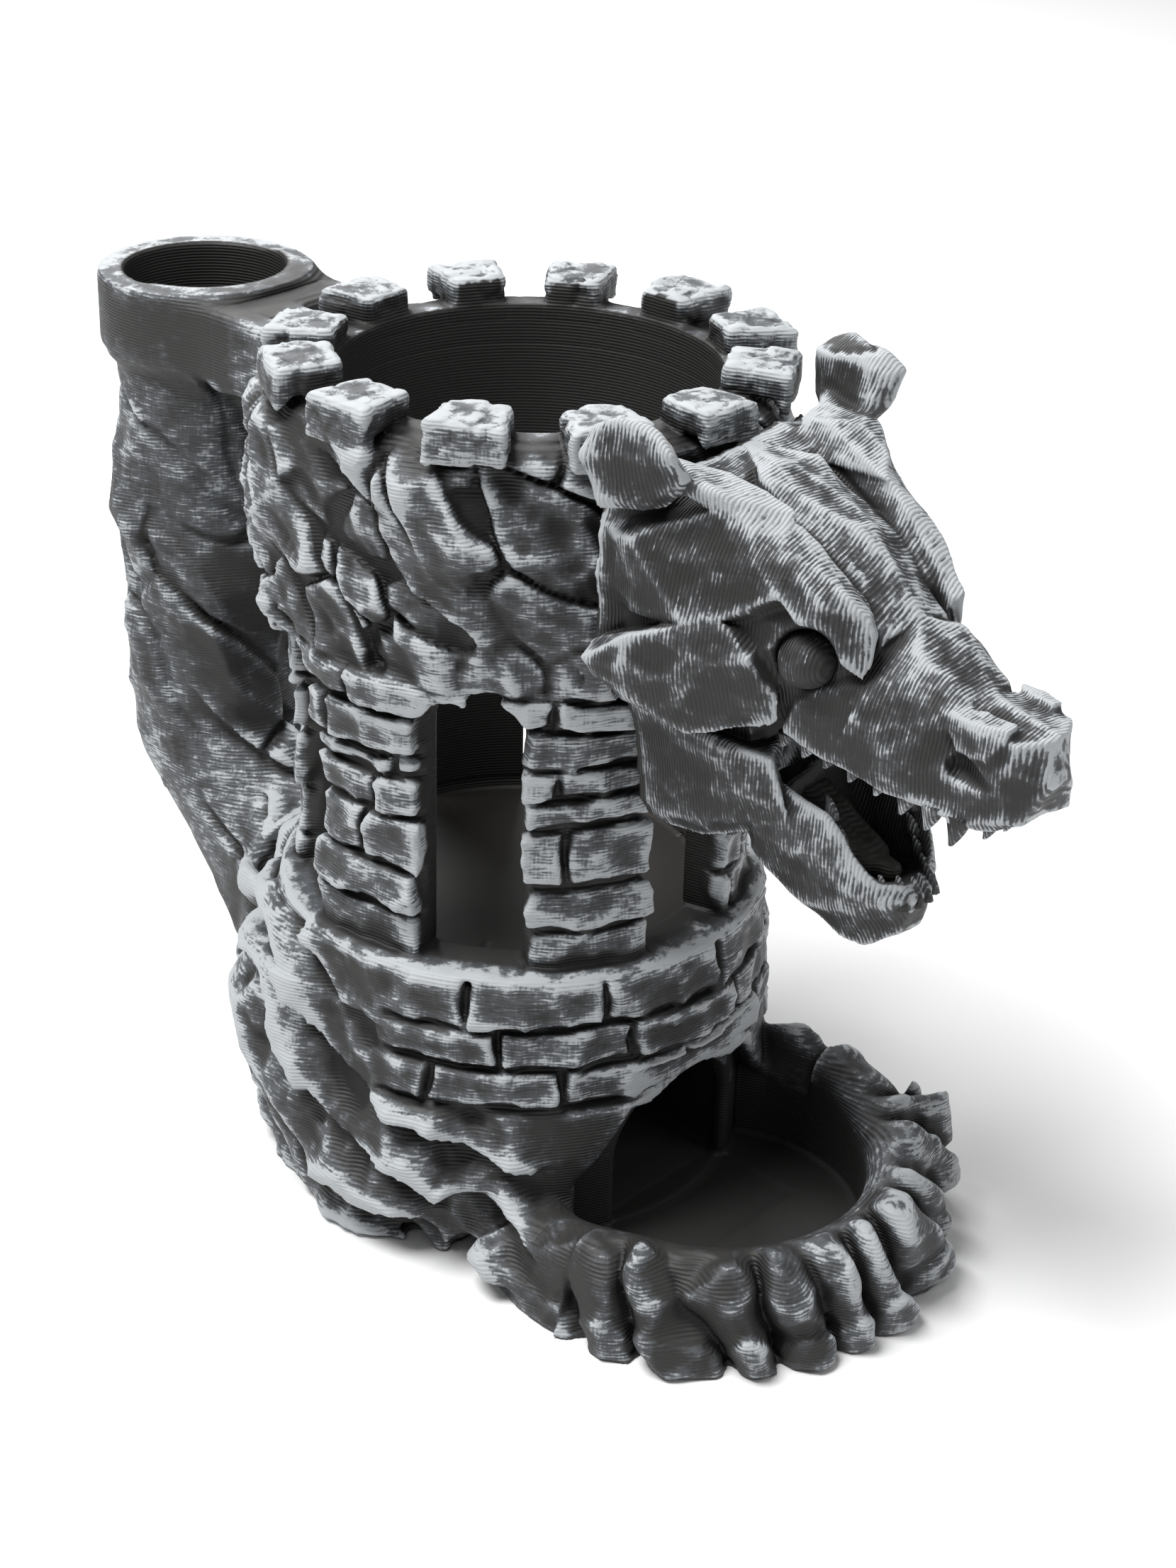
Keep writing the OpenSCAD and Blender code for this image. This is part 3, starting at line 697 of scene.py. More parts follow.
# Sides, fillet and corners of each form: 0 for one form across the middle, 2 for one on each side
HEAD_FORMS = [
    # back of the skull, reaching into the tower's seat
    (0, 1.0, [(8, -40, 159), (24, -40, 157), (29, -40, 148), (26, -40, 126), (13, -55, 157.5),
              (20, -58, 154), (14, -40, 104), (14, -64, 112), (16, -70, 138), (10, -72, 148)]),
    # core that closes the folds between the outer planes
    (2, 1.0, [(16, -60, 155.5), (22, -52, 153), (25.5, -51, 147), (25.5, -57.5, 137.5), (23, -65, 138),
              (18, -72.5, 142), (16.5, -76, 141), (13.5, -81.5, 141), (12, -84, 133.5), (15.5, -78, 129),
              (16.5, -74, 125), (18, -68, 121), (22.5, -58, 119.5), (26, -48, 123), (22, -43, 119),
              (10, -60, 156.5), (11, -71, 152), (17, -65.5, 153), (12, -69, 154), (8, -82, 142),
              (8, -60, 116), (8, -78, 118), (24, -42, 154)]),
    # broad plane between brow, ear and cheek
    (2, 0.5, [(21, -60, 155.5), (26, -53.5, 153.5), (30, -49, 150), (28.5, -60, 137.7),
              (25.5, -65.6, 139.2), (21, -73.2, 144.5), (19, -66, 151.3), (18, -71, 149.2),
              (13, -55, 158), (12, -63.5, 156.5), (27, -40, 150), (25, -40, 136), (12, -60, 134),
              (12, -72, 138)]),
    # cheek with its spike
    (2, 0.5, [(33.5, -43.5, 129), (31.5, -45, 125.5), (27.5, -55, 120.3), (24.5, -59, 116.4),
              (19.5, -68.5, 119), (22.5, -67.7, 123.9), (27.6, -59.5, 128.3), (22.8, -70, 132.5),
              (28.2, -60, 138.4), (25.3, -65.6, 140), (18.8, -74.2, 124.8), (17, -73, 119),
              (20, -40, 130), (16, -44, 117), (15, -70, 135)]),
    # upper ridge and the knob before the ear
    (2, 1.4, [(24, -48, 162), (25.5, -52, 158), (21.5, -60.5, 159.2), (20, -63, 155.6), (13.5, -50, 160),
              (13, -56, 160), (11.5, -63.5, 158), (11, -69.8, 154.8), (18.5, -66.3, 152.3),
              (25, -44, 160), (8, -58, 155)]),
    # brow over the eye
    (2, 1.2, [(21, -73, 144.8), (19, -66, 152), (18, -71, 150), (15.2, -77.4, 148.6),
              (14.6, -81.3, 145.8), (12, -87, 139.6), (12.2, -87, 134), (13.5, -85.4, 131.4),
              (17, -81.2, 137.2), (19.6, -77, 141.2), (11.5, -69.8, 154), (11, -74, 151.4),
              (10.5, -79.8, 145.6), (9.5, -85.9, 138.8), (8, -72, 146), (9, -84, 134)]),
    # forehead
    (0, 0.5, [(1, -50, 158.5), (2.5, -66, 154.8), (1, -76, 150.2), (0.5, -81, 146.6), (0.5, -87, 139.4),
              (8, -86, 136.6), (9, -78, 144.5), (9, -69, 151), (8, -58, 158), (14, -60, 132),
              (12, -83, 128)]),
    # snout
    (0, 0.6, [(0.5, -86.4, 139.6), (6, -91, 136.2), (9.6, -92.3, 133.2), (10.2, -98, 127.8),
              (16.2, -78, 128), (17.8, -75, 125), (17.4, -72, 118.6), (15.5, -78.8, 116.4),
              (13.3, -91.5, 115.2), (10.4, -103.6, 120), (11.3, -101.5, 112), (1, -100, 130.6),
              (6, -101, 130.4), (12, -70, 134)]),
    # nose
    (0, 0.6, [(9.3, -101.5, 129), (9.8, -106.4, 128), (8, -112.2, 127.5), (3, -114.2, 127.2),
              (9.6, -110, 121), (8.8, -111, 113.4), (6, -113, 112.8), (3, -115, 121), (11.2, -101.5, 111),
              (10.8, -103, 119), (7, -108, 110.6), (2, -100, 130.4)]),
    # wing over each nostril
    (2, 1.8, [(9.2, -99.5, 129.4), (10.2, -105, 129.6), (8.2, -110.4, 129.4), (5.8, -104.5, 129.8),
              (5.6, -109.6, 129.4), (11, -108, 124.5), (10.9, -102, 123.5), (6, -106, 121)]),
    # ear
    (2, 0.7, [(33.2, -44.6, 168.2), (34.6, -42.2, 163.2), (32, -45, 154.6), (25, -53.8, 154.2),
              (21.2, -57, 159.2), (27.2, -53.2, 170.9), (31.6, -47.4, 171.4), (29, -57.8, 166.4),
              (26, -57.8, 161), (30, -39.3, 163.7), (31, -42.4, 168.4), (21, -49, 154), (25, -44, 167.5),
              (27, -49, 153.5)]),
    # muscle at the back of the jaw
    (2, 0.6, [(22, -46, 117), (16.5, -42, 93.4), (14, -56, 91.7), (17.8, -58.5, 98), (16.4, -66.5, 100.5),
              (20, -63, 114), (17, -72, 114.6), (14.2, -74, 101), (20, -40, 117), (15, -40, 94),
              (6, -42, 94), (6, -64, 112)]),
    # jaw
    (0, 0.6, [(12.5, -64.5, 92.4), (16, -66.9, 99.8), (14, -74.3, 100.5), (12.9, -79.4, 105.6),
              (13.5, -70, 108), (12, -81, 99.6), (11.5, -70.8, 90.1), (9.5, -74.6, 84.8),
              (10.5, -83, 92.3), (8, -88.2, 91), (7, -79.5, 79.6), (4.5, -83, 78.2), (3, -89.7, 82.3),
              (3, -91.9, 90), (5, -56, 92)]),
]
MOUTH = [(12.6, -73, 115), (12.4, -79, 114.2), (10.6, -91.5, 113), (8.6, -99, 109.8), (8, -104, 105),
         (10.8, -79.4, 104.5), (9.8, -81, 98.5), (8.2, -83, 93.4), (4, -88.5, 93.6), (2.5, -92, 94),
         (6, -78, 86.8), (8.5, -68, 101), (11.5, -67, 108), (3, -99, 100)]
# Root x, y and z, drop of the tip (negative is down) and radius of each tooth
TEETH = [(15.6, -72.5, 117.0, -1.4, 1.7), (15.0, -76.6, 116.6, -1.8, 1.8),
         (14.2, -80.5, 116.0, -2.0, 1.9), (13.4, -85.0, 115.4, -2.6, 1.9),
         (12.6, -89.8, 114.8, -3.0, 2.1), (11.8, -94.4, 113.4, -3.6, 2.2),
         (10.8, -98.8, 111.8, -3.6, 2.2), (9.8, -103.2, 111.0, -4.4, 2.3),
         (6.0, -107.0, 110.8, -3.0, 1.8), (2.2, -108.2, 110.8, -2.6, 1.5), (10.8, -79.0, 105.4, 1.8, 1.5),
         (10.2, -81.0, 100.6, 1.8, 1.6), (9.4, -82.6, 96.4, 2.2, 1.7), (8.4, -84.8, 92.8, 2.6, 1.8),
         (6.6, -87.8, 91.0, 2.8, 1.9), (4.6, -90.0, 90.4, 3.4, 1.9), (1.9, -91.0, 90.2, 2.8, 1.6)]


def head_relief(p):
    """Chisel marks: broad shallow scoops with soft ridges over the carved planes."""
    faces = scoops(warped(p, 12.0, 2.0, 12.0) * np.float32([1, 0.62, 0.85]), 13.0, 14.0, 1.3)
    small = scoops(warped(p, 6.0, 1.0, 2.0) * np.float32([1, 0.7, 1]), 6.0, 6.0, 1.1)
    return np.clip(2.2 * (faces - 0.1) + 0.7 * (small - 0.15), -2.6, 2.6)


def tower_clearance(x, y, z):
    """Space of the wall and the merlons, which the head's back follows with a narrow seam."""
    seam = 0.5
    back = np.where(z > HEAD_STEP_Z, MERLON_R + seam, SEAT_R + seam)
    return np.hypot(x, y) - back


HEAD_LOW, HEAD_HIGH = (-38, -120, 68), (38, -26, 176)


def sculpt_head():
    """The whole head print, but for its teeth, tongue and eyes, in one block of clay."""
    clay = Clay(HEAD_LOW, HEAD_HIGH, HEAD_VOXEL)
    for sides, blend, points in HEAD_FORMS:
        for side in (0,) if sides == 0 else (1, -1):
            form, low, high = faceted(points, side)
            clay.add(form, low, high, blend)
    for side in (1, -1):
        near, far = sorted((side * 19, side * 38))
        clay.soften((near, -64, 156), (far, -36, 176), 0.6)
    clay.press(head_relief, HEAD_LOW, HEAD_HIGH, depth=3.0)
    form, low, high = faceted(MOUTH)
    clay.cut(form, low, high, 1.2)
    for side in (1, -1):
        near, far = sorted((side * 6, side * 30))
        # A round socket, which the eyeball sits in with a dark gap round it
        socket = rod((side * 16, -76.0, 133.2), (side * 24, -80.4, 136.4), 4.9, 6.2)
        clay.cut(socket, (near, -92, 122), (far, -66, 146), 1.2)
        # The nostril, a drop-shaped slot that points forwards and down
        nostril = rod((side * 10.6, -103.2, 121.6), (side * 10.2, -108.8, 119.0), 2.5, 0.8)
        clay.cut(nostril, (near, -114, 112), (far, -98, 128), 0.5)
    clay.cut(tower_clearance, HEAD_LOW, HEAD_HIGH)
    return clay


# ---- meshing ----


def within(x=(None, None), y=(None, None), z=(None, None)):
    """Distance to a box of space, negative inside; None leaves a side open."""

    def form(*place):
        d = np.float32(-99)
        for (low, high), value in zip((x, y, z), place):
            if low is not None:
                d = np.maximum(d, low - value)
            if high is not None:
                d = np.maximum(d, value - high)
        return d

    return form


def one_side(sign, start=0):
    """The space on one side of the middle, from x = start (times the sign) outwards."""
    return within(x=(start, None) if sign > 0 else (None, -start))


def wedge(middle, half):
    """The sector of space round the tower axis, half degrees to both sides of the middle angle."""
    a, b = math.radians(middle - half), math.radians(middle + half)
    return lambda x, y, z: np.maximum(x * math.sin(a) - y * math.cos(a), y * math.cos(b) - x * math.sin(b))


def round_axis(r):
    """The space within a radius of the tower axis."""
    return lambda x, y, z: np.hypot(x, y) - r + 0 * z


def outside(form):
    """All but a form."""
    return lambda x, y, z: -form(x, y, z)


def both(*forms):
    """What all of the forms share."""

    def form(x, y, z):
        d = forms[0](x, y, z)
        for other in forms[1:]:
            d = np.maximum(d, other(x, y, z))
        return d

    return form


def main_islands(count, quads, least):
    """Which vertices belong to a connected island of at least the given number of vertices."""
    ends = quads[:, [0, 1, 1, 2, 2, 3]].reshape(-1, 2)
    label = np.arange(count)
    while True:
        a, b = label[ends[:, 0]], label[ends[:, 1]]
        if (a == b).all():
            break
        np.minimum.at(label, np.maximum(a, b), np.minimum(a, b))
        while (label[label] != label).any():
            label = label[label]
    return np.bincount(label, minlength=count)[label] >= least


# Crumbs smaller than this share of a piece are dropped
CRUMB = 0.04
# How fast a piece shrinks past the face that it shares with its neighbour
SHRINK = 0.2
# How much more pale paint is put on what faces up than on what stands upright: painted light from above on
# tops, painted shade on undersides
PAINTED_TOPLIGHT = 0.22


def mesh_piece(name, clay, maps, low, high, region, skin):
    """Meshes one named piece out of the clay. Neighbours overlap by a hair inside the stone,
    each shrinking slightly past the shared face, so the seam between them can't be seen."""
    step = clay.step
    lap = 1.5 * step
    part, x, y, z = clay.window(low, high)
    d = clay.d[part]
    edge = region(x, y, z) + np.zeros_like(d)
    block = np.maximum(d + SHRINK * np.maximum(edge, 0), edge - lap)
    block = np.clip(np.pad(block, 1, constant_values=FAR), -3 * step, 3 * step).astype(np.float32)
    grid = openvdb.FloatGrid(background=float(3 * step))
    grid.copyFromArray(block, tolerance=0.0)
    verts, quads = grid.convertToQuads(isovalue=0.0)
    quads = quads.astype(np.int64)
    kept = main_islands(len(verts), quads, CRUMB * len(verts))
    quads = (np.cumsum(kept) - 1)[quads[kept[quads[:, 0]]]]
    verts = verts[kept]
    verts = (verts - 1) * step + np.array([x.flat[0], y.flat[0], z.flat[0]], np.float32)
    mesh = bpy.data.meshes.new(name)
    mesh.vertices.add(len(verts))
    mesh.vertices.foreach_set("co", (verts * MM).astype(np.float32).ravel())
    mesh.loops.add(4 * len(quads))
    mesh.loops.foreach_set("vertex_index", quads.astype(np.int32).ravel())
    mesh.polygons.add(len(quads))
    mesh.polygons.foreach_set("loop_start", np.arange(0, 4 * len(quads), 4, dtype=np.int32))
    mesh.polygons.foreach_set("use_smooth", np.ones(len(quads), bool))
    mesh.update(calc_edges=True)
    mesh.validate()
    for title, field in maps.items():
        store(mesh, title, clay.look_up(field, verts))
    looks = skin(verts)
    upwards = np.empty(3 * len(verts), np.float32)
    mesh.vertex_normals.foreach_get("vector", upwards)
    # Painted light and shade: what faces up takes more pale paint and undersides less, as if lit from above
    looks["load"] = looks["load"] + PAINTED_TOPLIGHT * upwards[2::3]
    for title, values in looks.items():
        store(mesh, title, values)
    piece = bpy.data.objects.new(name, mesh)
    bpy.context.scene.collection.objects.link(piece)
    return piece


def store(mesh, title, values):
    """Keeps one number for each vertex, for the paint to read."""
    layer = mesh.attributes.new(title, "FLOAT", "POINT")
    layer.data.foreach_set("value", np.asarray(values, np.float32))


def edge_maps(clay, fine, broad):
    """How much each place stands out (positive) or lies in a recess, at two scales."""
    close = np.clip(clay.d, -4, 4)
    return {"crisp": blurred(close, fine, clay.step) / fine,
            "broad": blurred(close, broad, clay.step) / broad}


def tower_skin(p):
    """Where the plastic was left bare, and how much pale paint the brush left on the rest."""
    x, y, z = p[:, 0], p[:, 1], p[:, 2]
    reach = np.hypot(x, y)
    turn = np.degrees(np.arctan2(y, x))
    bore = (reach < CAN_R + 0.6) & (z > FLOOR_Z - 1)
    reveal = ease(41.4, 39.6, reach) * ((z > SILL_Z - 1.2) & (z < 117))
    shaft = (np.hypot(x, y - COLUMN_Y) < INLET_R + 0.4) & (z > BEND_Z)
    chamber = (np.abs(x) < CHANNEL_W + 0.3) & (y > -40) & (y < 84)
    chamber &= (z > PLATE_Z - 0.6) & (z < CEILING_Z + 0.4)
    in_slope = np.hypot(x, (y - COLUMN_Y - z + BEND_Z) * 0.7071) < CHUTE_R + 0.5
    chamber &= (reach < DRUM_R) | in_slope
    tray = (np.hypot(x, y - TRAY_Y) < TRAY_R + 0.5) & (z < 21) & (z > 3) & (y < -36)
    bare = np.maximum(reveal, (bore | shaft | chamber | tray | (z < 0.5)) * 1.0)
    column = ease(56, 64, y)
    load = np.full(len(p), -0.1, np.float32)
    # Less on the column's side that faces the wall: painted shade cast by the wall
    load -= column * 0.34 * ease(-0.3, 0.7, (COLUMN_Y - y) / 20)
    # Less on the sill's top
    load -= 0.22 * ease(59.5, 61.5, z) * ease(64.5, 63.0, z)
    # Less on the whole column, but for the edge of its mouth
    load -= column * (0.26 + 0.06 * ease(139, 143, z) - 0.3 * ease(157.5, 159.5, z))
    # More on the pillars at the front and right
    pillars = ease(60, 63, z) * ease(119, 115, z)
    load += (1 - column) * 0.2 * pillars * ease(-172, -160, turn) * ease(100, 80, turn)
    # Most on the tops of the merlons, less on their sides
    load += (1 - column) * (0.2 * ease(163.2, 164.6, z) - 0.1 * ease(156, 158, z) * ease(164.6, 163.2, z))
    # Little on the smooth ledge between the merlons and on the inner edge of the rim
    between = ease(8.2, 9.6, from_merlon(x, y))
    load -= (1 - column) * 0.4 * ease(152.5, 155, z) * between * ease(46.5, 44.5, reach)
    load -= (1 - column) * 0.35 * ease(157.5, 159, z) * ease(36.5, 35.2, reach) * ease(164.5, 163.5, z)
    # Less on the left of the base and under its bricks, least on the smooth face beside the arch
    load -= (1 - column) * ease(64, 60, z) * (0.04 + 0.28 * ease(-140, -164, turn) + 0.2 * ease(37, 33, z))
    load -= 0.5 * ease(36, 33, z) * ease(-140, -128, turn) * ease(-96, -104, turn) * ease(41, 43, reach)
    # More on the claws, less on the smooth inner slope of the tray's rim
    load += 0.1 * ease(-40, -46, y)
    load -= 0.16 * ease(-40, -46, y) * ease(36.5, 33, np.hypot(x, y - TRAY_Y))
    return {"bare": bare, "load": load}


def head_skin(p):
    """The mouth's inside and the hidden back were left bare; the top takes more pale paint than the
    sides, a painted highlight from the light above."""
    x, y, z = p[:, 0], p[:, 1], p[:, 2]
    back = np.hypot(x, y) < MERLON_R + 1.2
    form, _, _ = faceted(MOUTH)
    inside = form(x, y, z) < 0.6
    # Painted highlight: the top takes more pale paint than the sides
    top = ease(-0.12, 0.3, (z - 133) / 60 - (np.abs(x) - 13) / 26)
    eyes = np.exp(-((np.abs(x) - 18.5) ** 2 + (y + 77.5) ** 2 + (z - 133.5) ** 2) / 60)
    return {"bare": np.maximum(back * 1.0, inside * 0.9), "load": -0.4 + 0.56 * top - 1.3 * eyes}


# ---- finishes ----


def linear(code):
    """An sRGB hex colour as linear red, green, blue and alpha."""
    values = [int(code[i : i + 2], 16) / 255 for i in (1, 3, 5)]
    return (*[v / 12.92 if v <= 0.04045 else ((v + 0.055) / 1.055) ** 2.4 for v in values], 1.0)


def add(tree, kind, inputs=None, out=0, **settings):
    """Adds a node with its settings, links its inputs or sets their values, and returns an output."""
    node = tree.nodes.new(kind)
    for key, value in settings.items():
        setattr(node, key, value)
    for key, value in (inputs or {}).items():
        if isinstance(value, bpy.types.NodeSocket):
            tree.links.new(value, node.inputs[key])
        else:
            node.inputs[key].default_value = value
    return node.outputs[out] if len(node.outputs) else None


def printed_paint(name, plastic, hollow_shade, film, pale, along, ridges, edges):
    """Matt plastic, printed in layers and painted: pale grey was dry-brushed over it, so it sits on edges
    and bumps and skips along the layer lines. The hollows are darkened to a near-black, painted shade.
    along is the axis that the layers were stacked on, ridges how strongly they show,
    edges how much more paint the edges took than the flats."""
    material = bpy.data.materials.new(name)
    material.use_nodes = True
    tree = material.node_tree
    tree.nodes.clear()
    place = add(tree, "ShaderNodeTexCoord", out="Object")
    crisp, broad, bare, load = (add(tree, "ShaderNodeAttribute", out="Fac", attribute_name=title)
                                for title in ("crisp", "broad", "bare", "load"))
    # A node's values of the same name are numbered: a maths node's are 0, 1 and 2
    # Bristle marks run along the layers and, fainter, across them; patches show a fuller brush
    with_layers, across_layers = {"Z": ((1, 1, 6), (6, 6, 1)), "Y": ((1, 6, 1), (5, 1, 5))}[along]
    lengthways = add(tree, "ShaderNodeMapping", {"Vector": place, "Scale": with_layers})
    crossways = add(tree, "ShaderNodeMapping", {"Vector": place, "Scale": across_layers})
    marks = add(tree, "ShaderNodeTexNoise", {"Vector": lengthways, "Scale": 400.0, "Detail": 3.0})
    cross = add(tree, "ShaderNodeTexNoise", {"Vector": crossways, "Scale": 330.0, "Detail": 2.0})
    patches = add(tree, "ShaderNodeTexNoise", {"Vector": place, "Scale": 190.0, "Detail": 4.0})
    clouds = add(tree, "ShaderNodeTexNoise", {"Vector": place, "Scale": 48.0, "Detail": 2.0})
    # The real layers weren't measured. Ridges 0.6 mm apart are a guess, coarse enough to show. The node's
    # bands repeat 20 / (2 pi) times in each unit of its scale
    pitch = 0.6 * MM
    layers = add(tree, "ShaderNodeTexWave",
                 {"Vector": place, "Scale": math.pi * 2 / (20 * pitch), "Distortion": 0.35, "Detail": 1.0},
                 out=1, wave_type="BANDS", bands_direction=along, wave_profile="SIN")
    # How much paint lies here: cover without the bristle marks, level with them
    cover = load
    for pattern, weight, middle in ((crisp, 1.15 * edges, 0.0), (broad, 0.6 * edges, 0.0),
                                    (patches, 1.6, 0.5), (clouds, 1.5, 0.5)):
        centred = add(tree, "ShaderNodeMath", {0: pattern, 1: middle}, operation="SUBTRACT")
        cover = add(tree, "ShaderNodeMath", {0: centred, 1: weight, 2: cover}, operation="MULTIPLY_ADD")
    level = cover
    for pattern, weight, middle in ((marks, 2.3, 0.5), (cross, 0.9, 0.5), (layers, ridges, 0.5)):
        centred = add(tree, "ShaderNodeMath", {0: pattern, 1: middle}, operation="SUBTRACT")
        level = add(tree, "ShaderNodeMath", {0: centred, 1: weight, 2: level}, operation="MULTIPLY_ADD")
    thin = add(tree, "ShaderNodeMath", {0: cover, 1: level}, operation="ADD")
    thin = add(tree, "ShaderNodeMapRange", {0: thin, 1: -1.0, 2: 0.7}, interpolation_type="SMOOTHSTEP")
    thick = add(tree, "ShaderNodeMapRange", {0: level, 1: 0.18, 2: 0.85}, interpolation_type="SMOOTHSTEP")
    depth = add(tree, "ShaderNodeMath", {0: crisp, 1: broad}, operation="ADD")
    # Painted shade: places that lie in a recess are darkened towards the near-black hollow colour
    hollow = add(tree, "ShaderNodeMapRange", {0: depth, 1: -0.1, 2: -0.7}, interpolation_type="SMOOTHSTEP")
    colour = linear(plastic)
    for share, coat in ((thin, film), (thick, pale), (hollow, hollow_shade), (bare, plastic)):
        colour = add(tree, "ShaderNodeMix", {0: share, 6: colour, 7: linear(coat)}, out=2, data_type="RGBA")
    grit = add(tree, "ShaderNodeTexNoise", {"Vector": place, "Scale": 1500.0, "Detail": 2.0})
    height = add(tree, "ShaderNodeMath", {0: grit, 1: 0.25, 2: layers}, operation="MULTIPLY_ADD")
    bump = add(tree, "ShaderNodeBump",
               {"Height": height, "Strength": 0.35 + 0.5 * ridges, "Distance": 0.18 * MM})
    shader = add(tree, "ShaderNodeBsdfPrincipled",
                 {"Base Color": colour, "Roughness": 0.58, "IOR": 1.46, "Normal": bump})
    add(tree, "ShaderNodeOutputMaterial", {"Surface": shader})
    return material


# Plastic, painted shade in the hollows, thin film and thick pale paint, then layers, ridges and edges
STONE_PAINT = printed_paint("dry_brushed_stone_print", "#2c2b2a", "#0e0e0f", "#505357", "#adb1b4",
                            "Z", 0.25, 1.0)
HEAD_PAINT = printed_paint("dry_brushed_head_print", "#292827", "#101011", "#484a4d", "#b0b4b7",
                           "Y", 0.6, 2.2)
BARE_PLASTIC = printed_paint("bare_grey_pla_print", "#2e2c2a", "#1e1c1b", "#302e2c", "#383633",
                             "Z", 0.2, 1.0)


# ---- the tower's pieces ----

tower = sculpt_tower()
tower_maps = edge_maps(tower, 1.0, 3.2)
# Where one named piece ends and the next begins: half a merlon's share in degrees, the rest in mm
MERLON_HALF = 9.6
MERLON_LOW = 157.0
RIM_LOW = 152.5
WALL_LOW = 118
ARCHES_LOW = 104
SILL_TOP = SILL_Z + 1.0
FLOOR_LOW = FLOOR_Z - 5.2
FLOOR_EDGE = CAN_R + 0.7
ELBOW_TOP = 66
FOOT_TOP = PLATE_Z + 0.8
WALL_INNER = 39.5
ARCH_X, ARCH_Y = 18, -33
TRAY_SIDE, BACK_SIDE = -41.0, 44.0
BRIDGE_FRONT, BRIDGE_BACK = 47.5, 66.0


def not_merlon(x, y, z):
    """Everything but the merlons' own wedges."""
    return -np.maximum((from_merlon(x, y) - MERLON_HALF) * 0.7, MERLON_LOW - z)


def stone(name, low, high, region, nodes, slot="stone_print"):
    """One named piece of the tower, which stands for the given CAD nodes."""
    piece = mesh_piece(name, tower, tower_maps, low, high, region, tower_skin)
    piece.data.materials.append(BARE_PLASTIC if slot == "bare_print" else STONE_PAINT)
    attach(piece, "tower")
    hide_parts(*nodes)


above_foot = within(z=(FOOT_TOP, BASE_TOP))
arch_space = within(x=(-ARCH_X, ARCH_X), y=(None, ARCH_Y))
bridge_space = within(y=(BRIDGE_FRONT, BRIDGE_BACK), z=(120, None))
wall_space = within(y=(None, BRIDGE_FRONT), z=(WALL_LOW, RIM_LOW))

stone("foot_and_tray_floor", TOWER_LOW, (57, 80, 9), within(z=(None, FOOT_TOP)), ["foot_plate"])
for side, sign, tray_rocks, drum_rocks in (("left", -1, "tray_claws", ["rock_ledges"]),
                                           ("right", 1, "tray_boulders", [])):
    half = one_side(sign)
    stone(f"tray_rim_{side}", (-57, -100, 2), (57, -36, 38),
          both(above_foot, half, within(y=(None, TRAY_SIDE))), [f"tray_rim_{side}", tray_rocks])
    stone(f"drum_{side}", (-57, -46, 2), (57, 50, 38),
          both(above_foot, half, within(y=(TRAY_SIDE, BACK_SIDE)), outside(arch_space)),
          [f"drum_{side}", *drum_rocks])
stone("exit_arch", (-22, -50, 2), (22, -28, 38),
      both(above_foot, arch_space, within(y=(TRAY_SIDE, None))), ["exit_arch"])
stone("rear_rock", (-57, 40, 2), (57, 110, 38), both(above_foot, within(y=(BACK_SIDE, None))),
      ["rear_rock", "dice_ramp"])
for row, course in enumerate(("low", "mid", "top")):
    z_low = BASE_TOP + row * COURSE_H
    z_high = FLOOR_LOW if course == "top" else z_low + COURSE_H
    stone(f"brick_course_{course}", (-57, -57, z_low - 3), (57, 50, z_high + 3),
          within(y=(None, BACK_SIDE), z=(z_low, z_high)), [f"brick_course_{course}"])
stone("socket_floor", (-50, -50, FLOOR_Z - 9), (50, 50, FLOOR_Z + 4),
      both(within(y=(None, BACK_SIDE), z=(FLOOR_LOW, FLOOR_Z + 1.2)), round_axis(FLOOR_EDGE)),
      ["socket_floor"], "bare_print")
stone("window_sill", (-57, -57, FLOOR_Z - 9), (57, 50, SILL_Z + 5),
      both(within(y=(None, BACK_SIDE), z=(FLOOR_LOW, SILL_TOP)), outside(round_axis(FLOOR_EDGE))),
      ["window_sill"])
for k in range(6):
    pier = both(wedge(-120 + 60 * k, 30), within(y=(None, BACK_SIDE + 3), z=(SILL_TOP, ARCHES_LOW)))
    stone(f"pillar_{k + 1}", (-50, -50, SILL_Z - 2), (50, 50, SPRING_Z + 2),
          both(pier, round_axis(49)), [f"pillar_{k + 1}"])
stone("window_arches", (-50, -50, 101), (50, 50, 121),
      both(within(y=(None, BRIDGE_FRONT), z=(ARCHES_LOW, WALL_LOW)), round_axis(52)), ["window_arches"])
stone("upper_wall", (-50, -50, 115), (50, 50, 156), both(wall_space, round_axis(WALL_INNER)),
      ["upper_wall", "head_seat"])
for side, sign in (("left", -1), ("right", 1)):
    stone(f"rock_face_{side}", (-57, -57, 115), (57, 50, 156),
          both(wall_space, one_side(sign), outside(round_axis(WALL_INNER))), [f"rock_face_{side}"])
stone("rim_ledge", (-57, -57, 149), (57, 50, 168),
      both(within(y=(None, BRIDGE_FRONT), z=(RIM_LOW, None)), not_merlon), ["rim_ledge"])
for k, angle in enumerate(MERLON_ANGLES):
    spot = spot_on_ring(angle, MERLON_MIDDLE)
    stone(f"merlon_{k + 1}", (*(spot - 13), 154), (*(spot + 13), 168),
          both(wedge(angle, MERLON_HALF), within(z=(MERLON_LOW, None))), [f"merlon_{k + 1}"])


def back_merlon(x, y, z):
    """The wedge of the merlon in front of the bridge."""
    return np.maximum(np.abs(off_angle(x, y, 90)) - MERLON_HALF, MERLON_LOW - z)


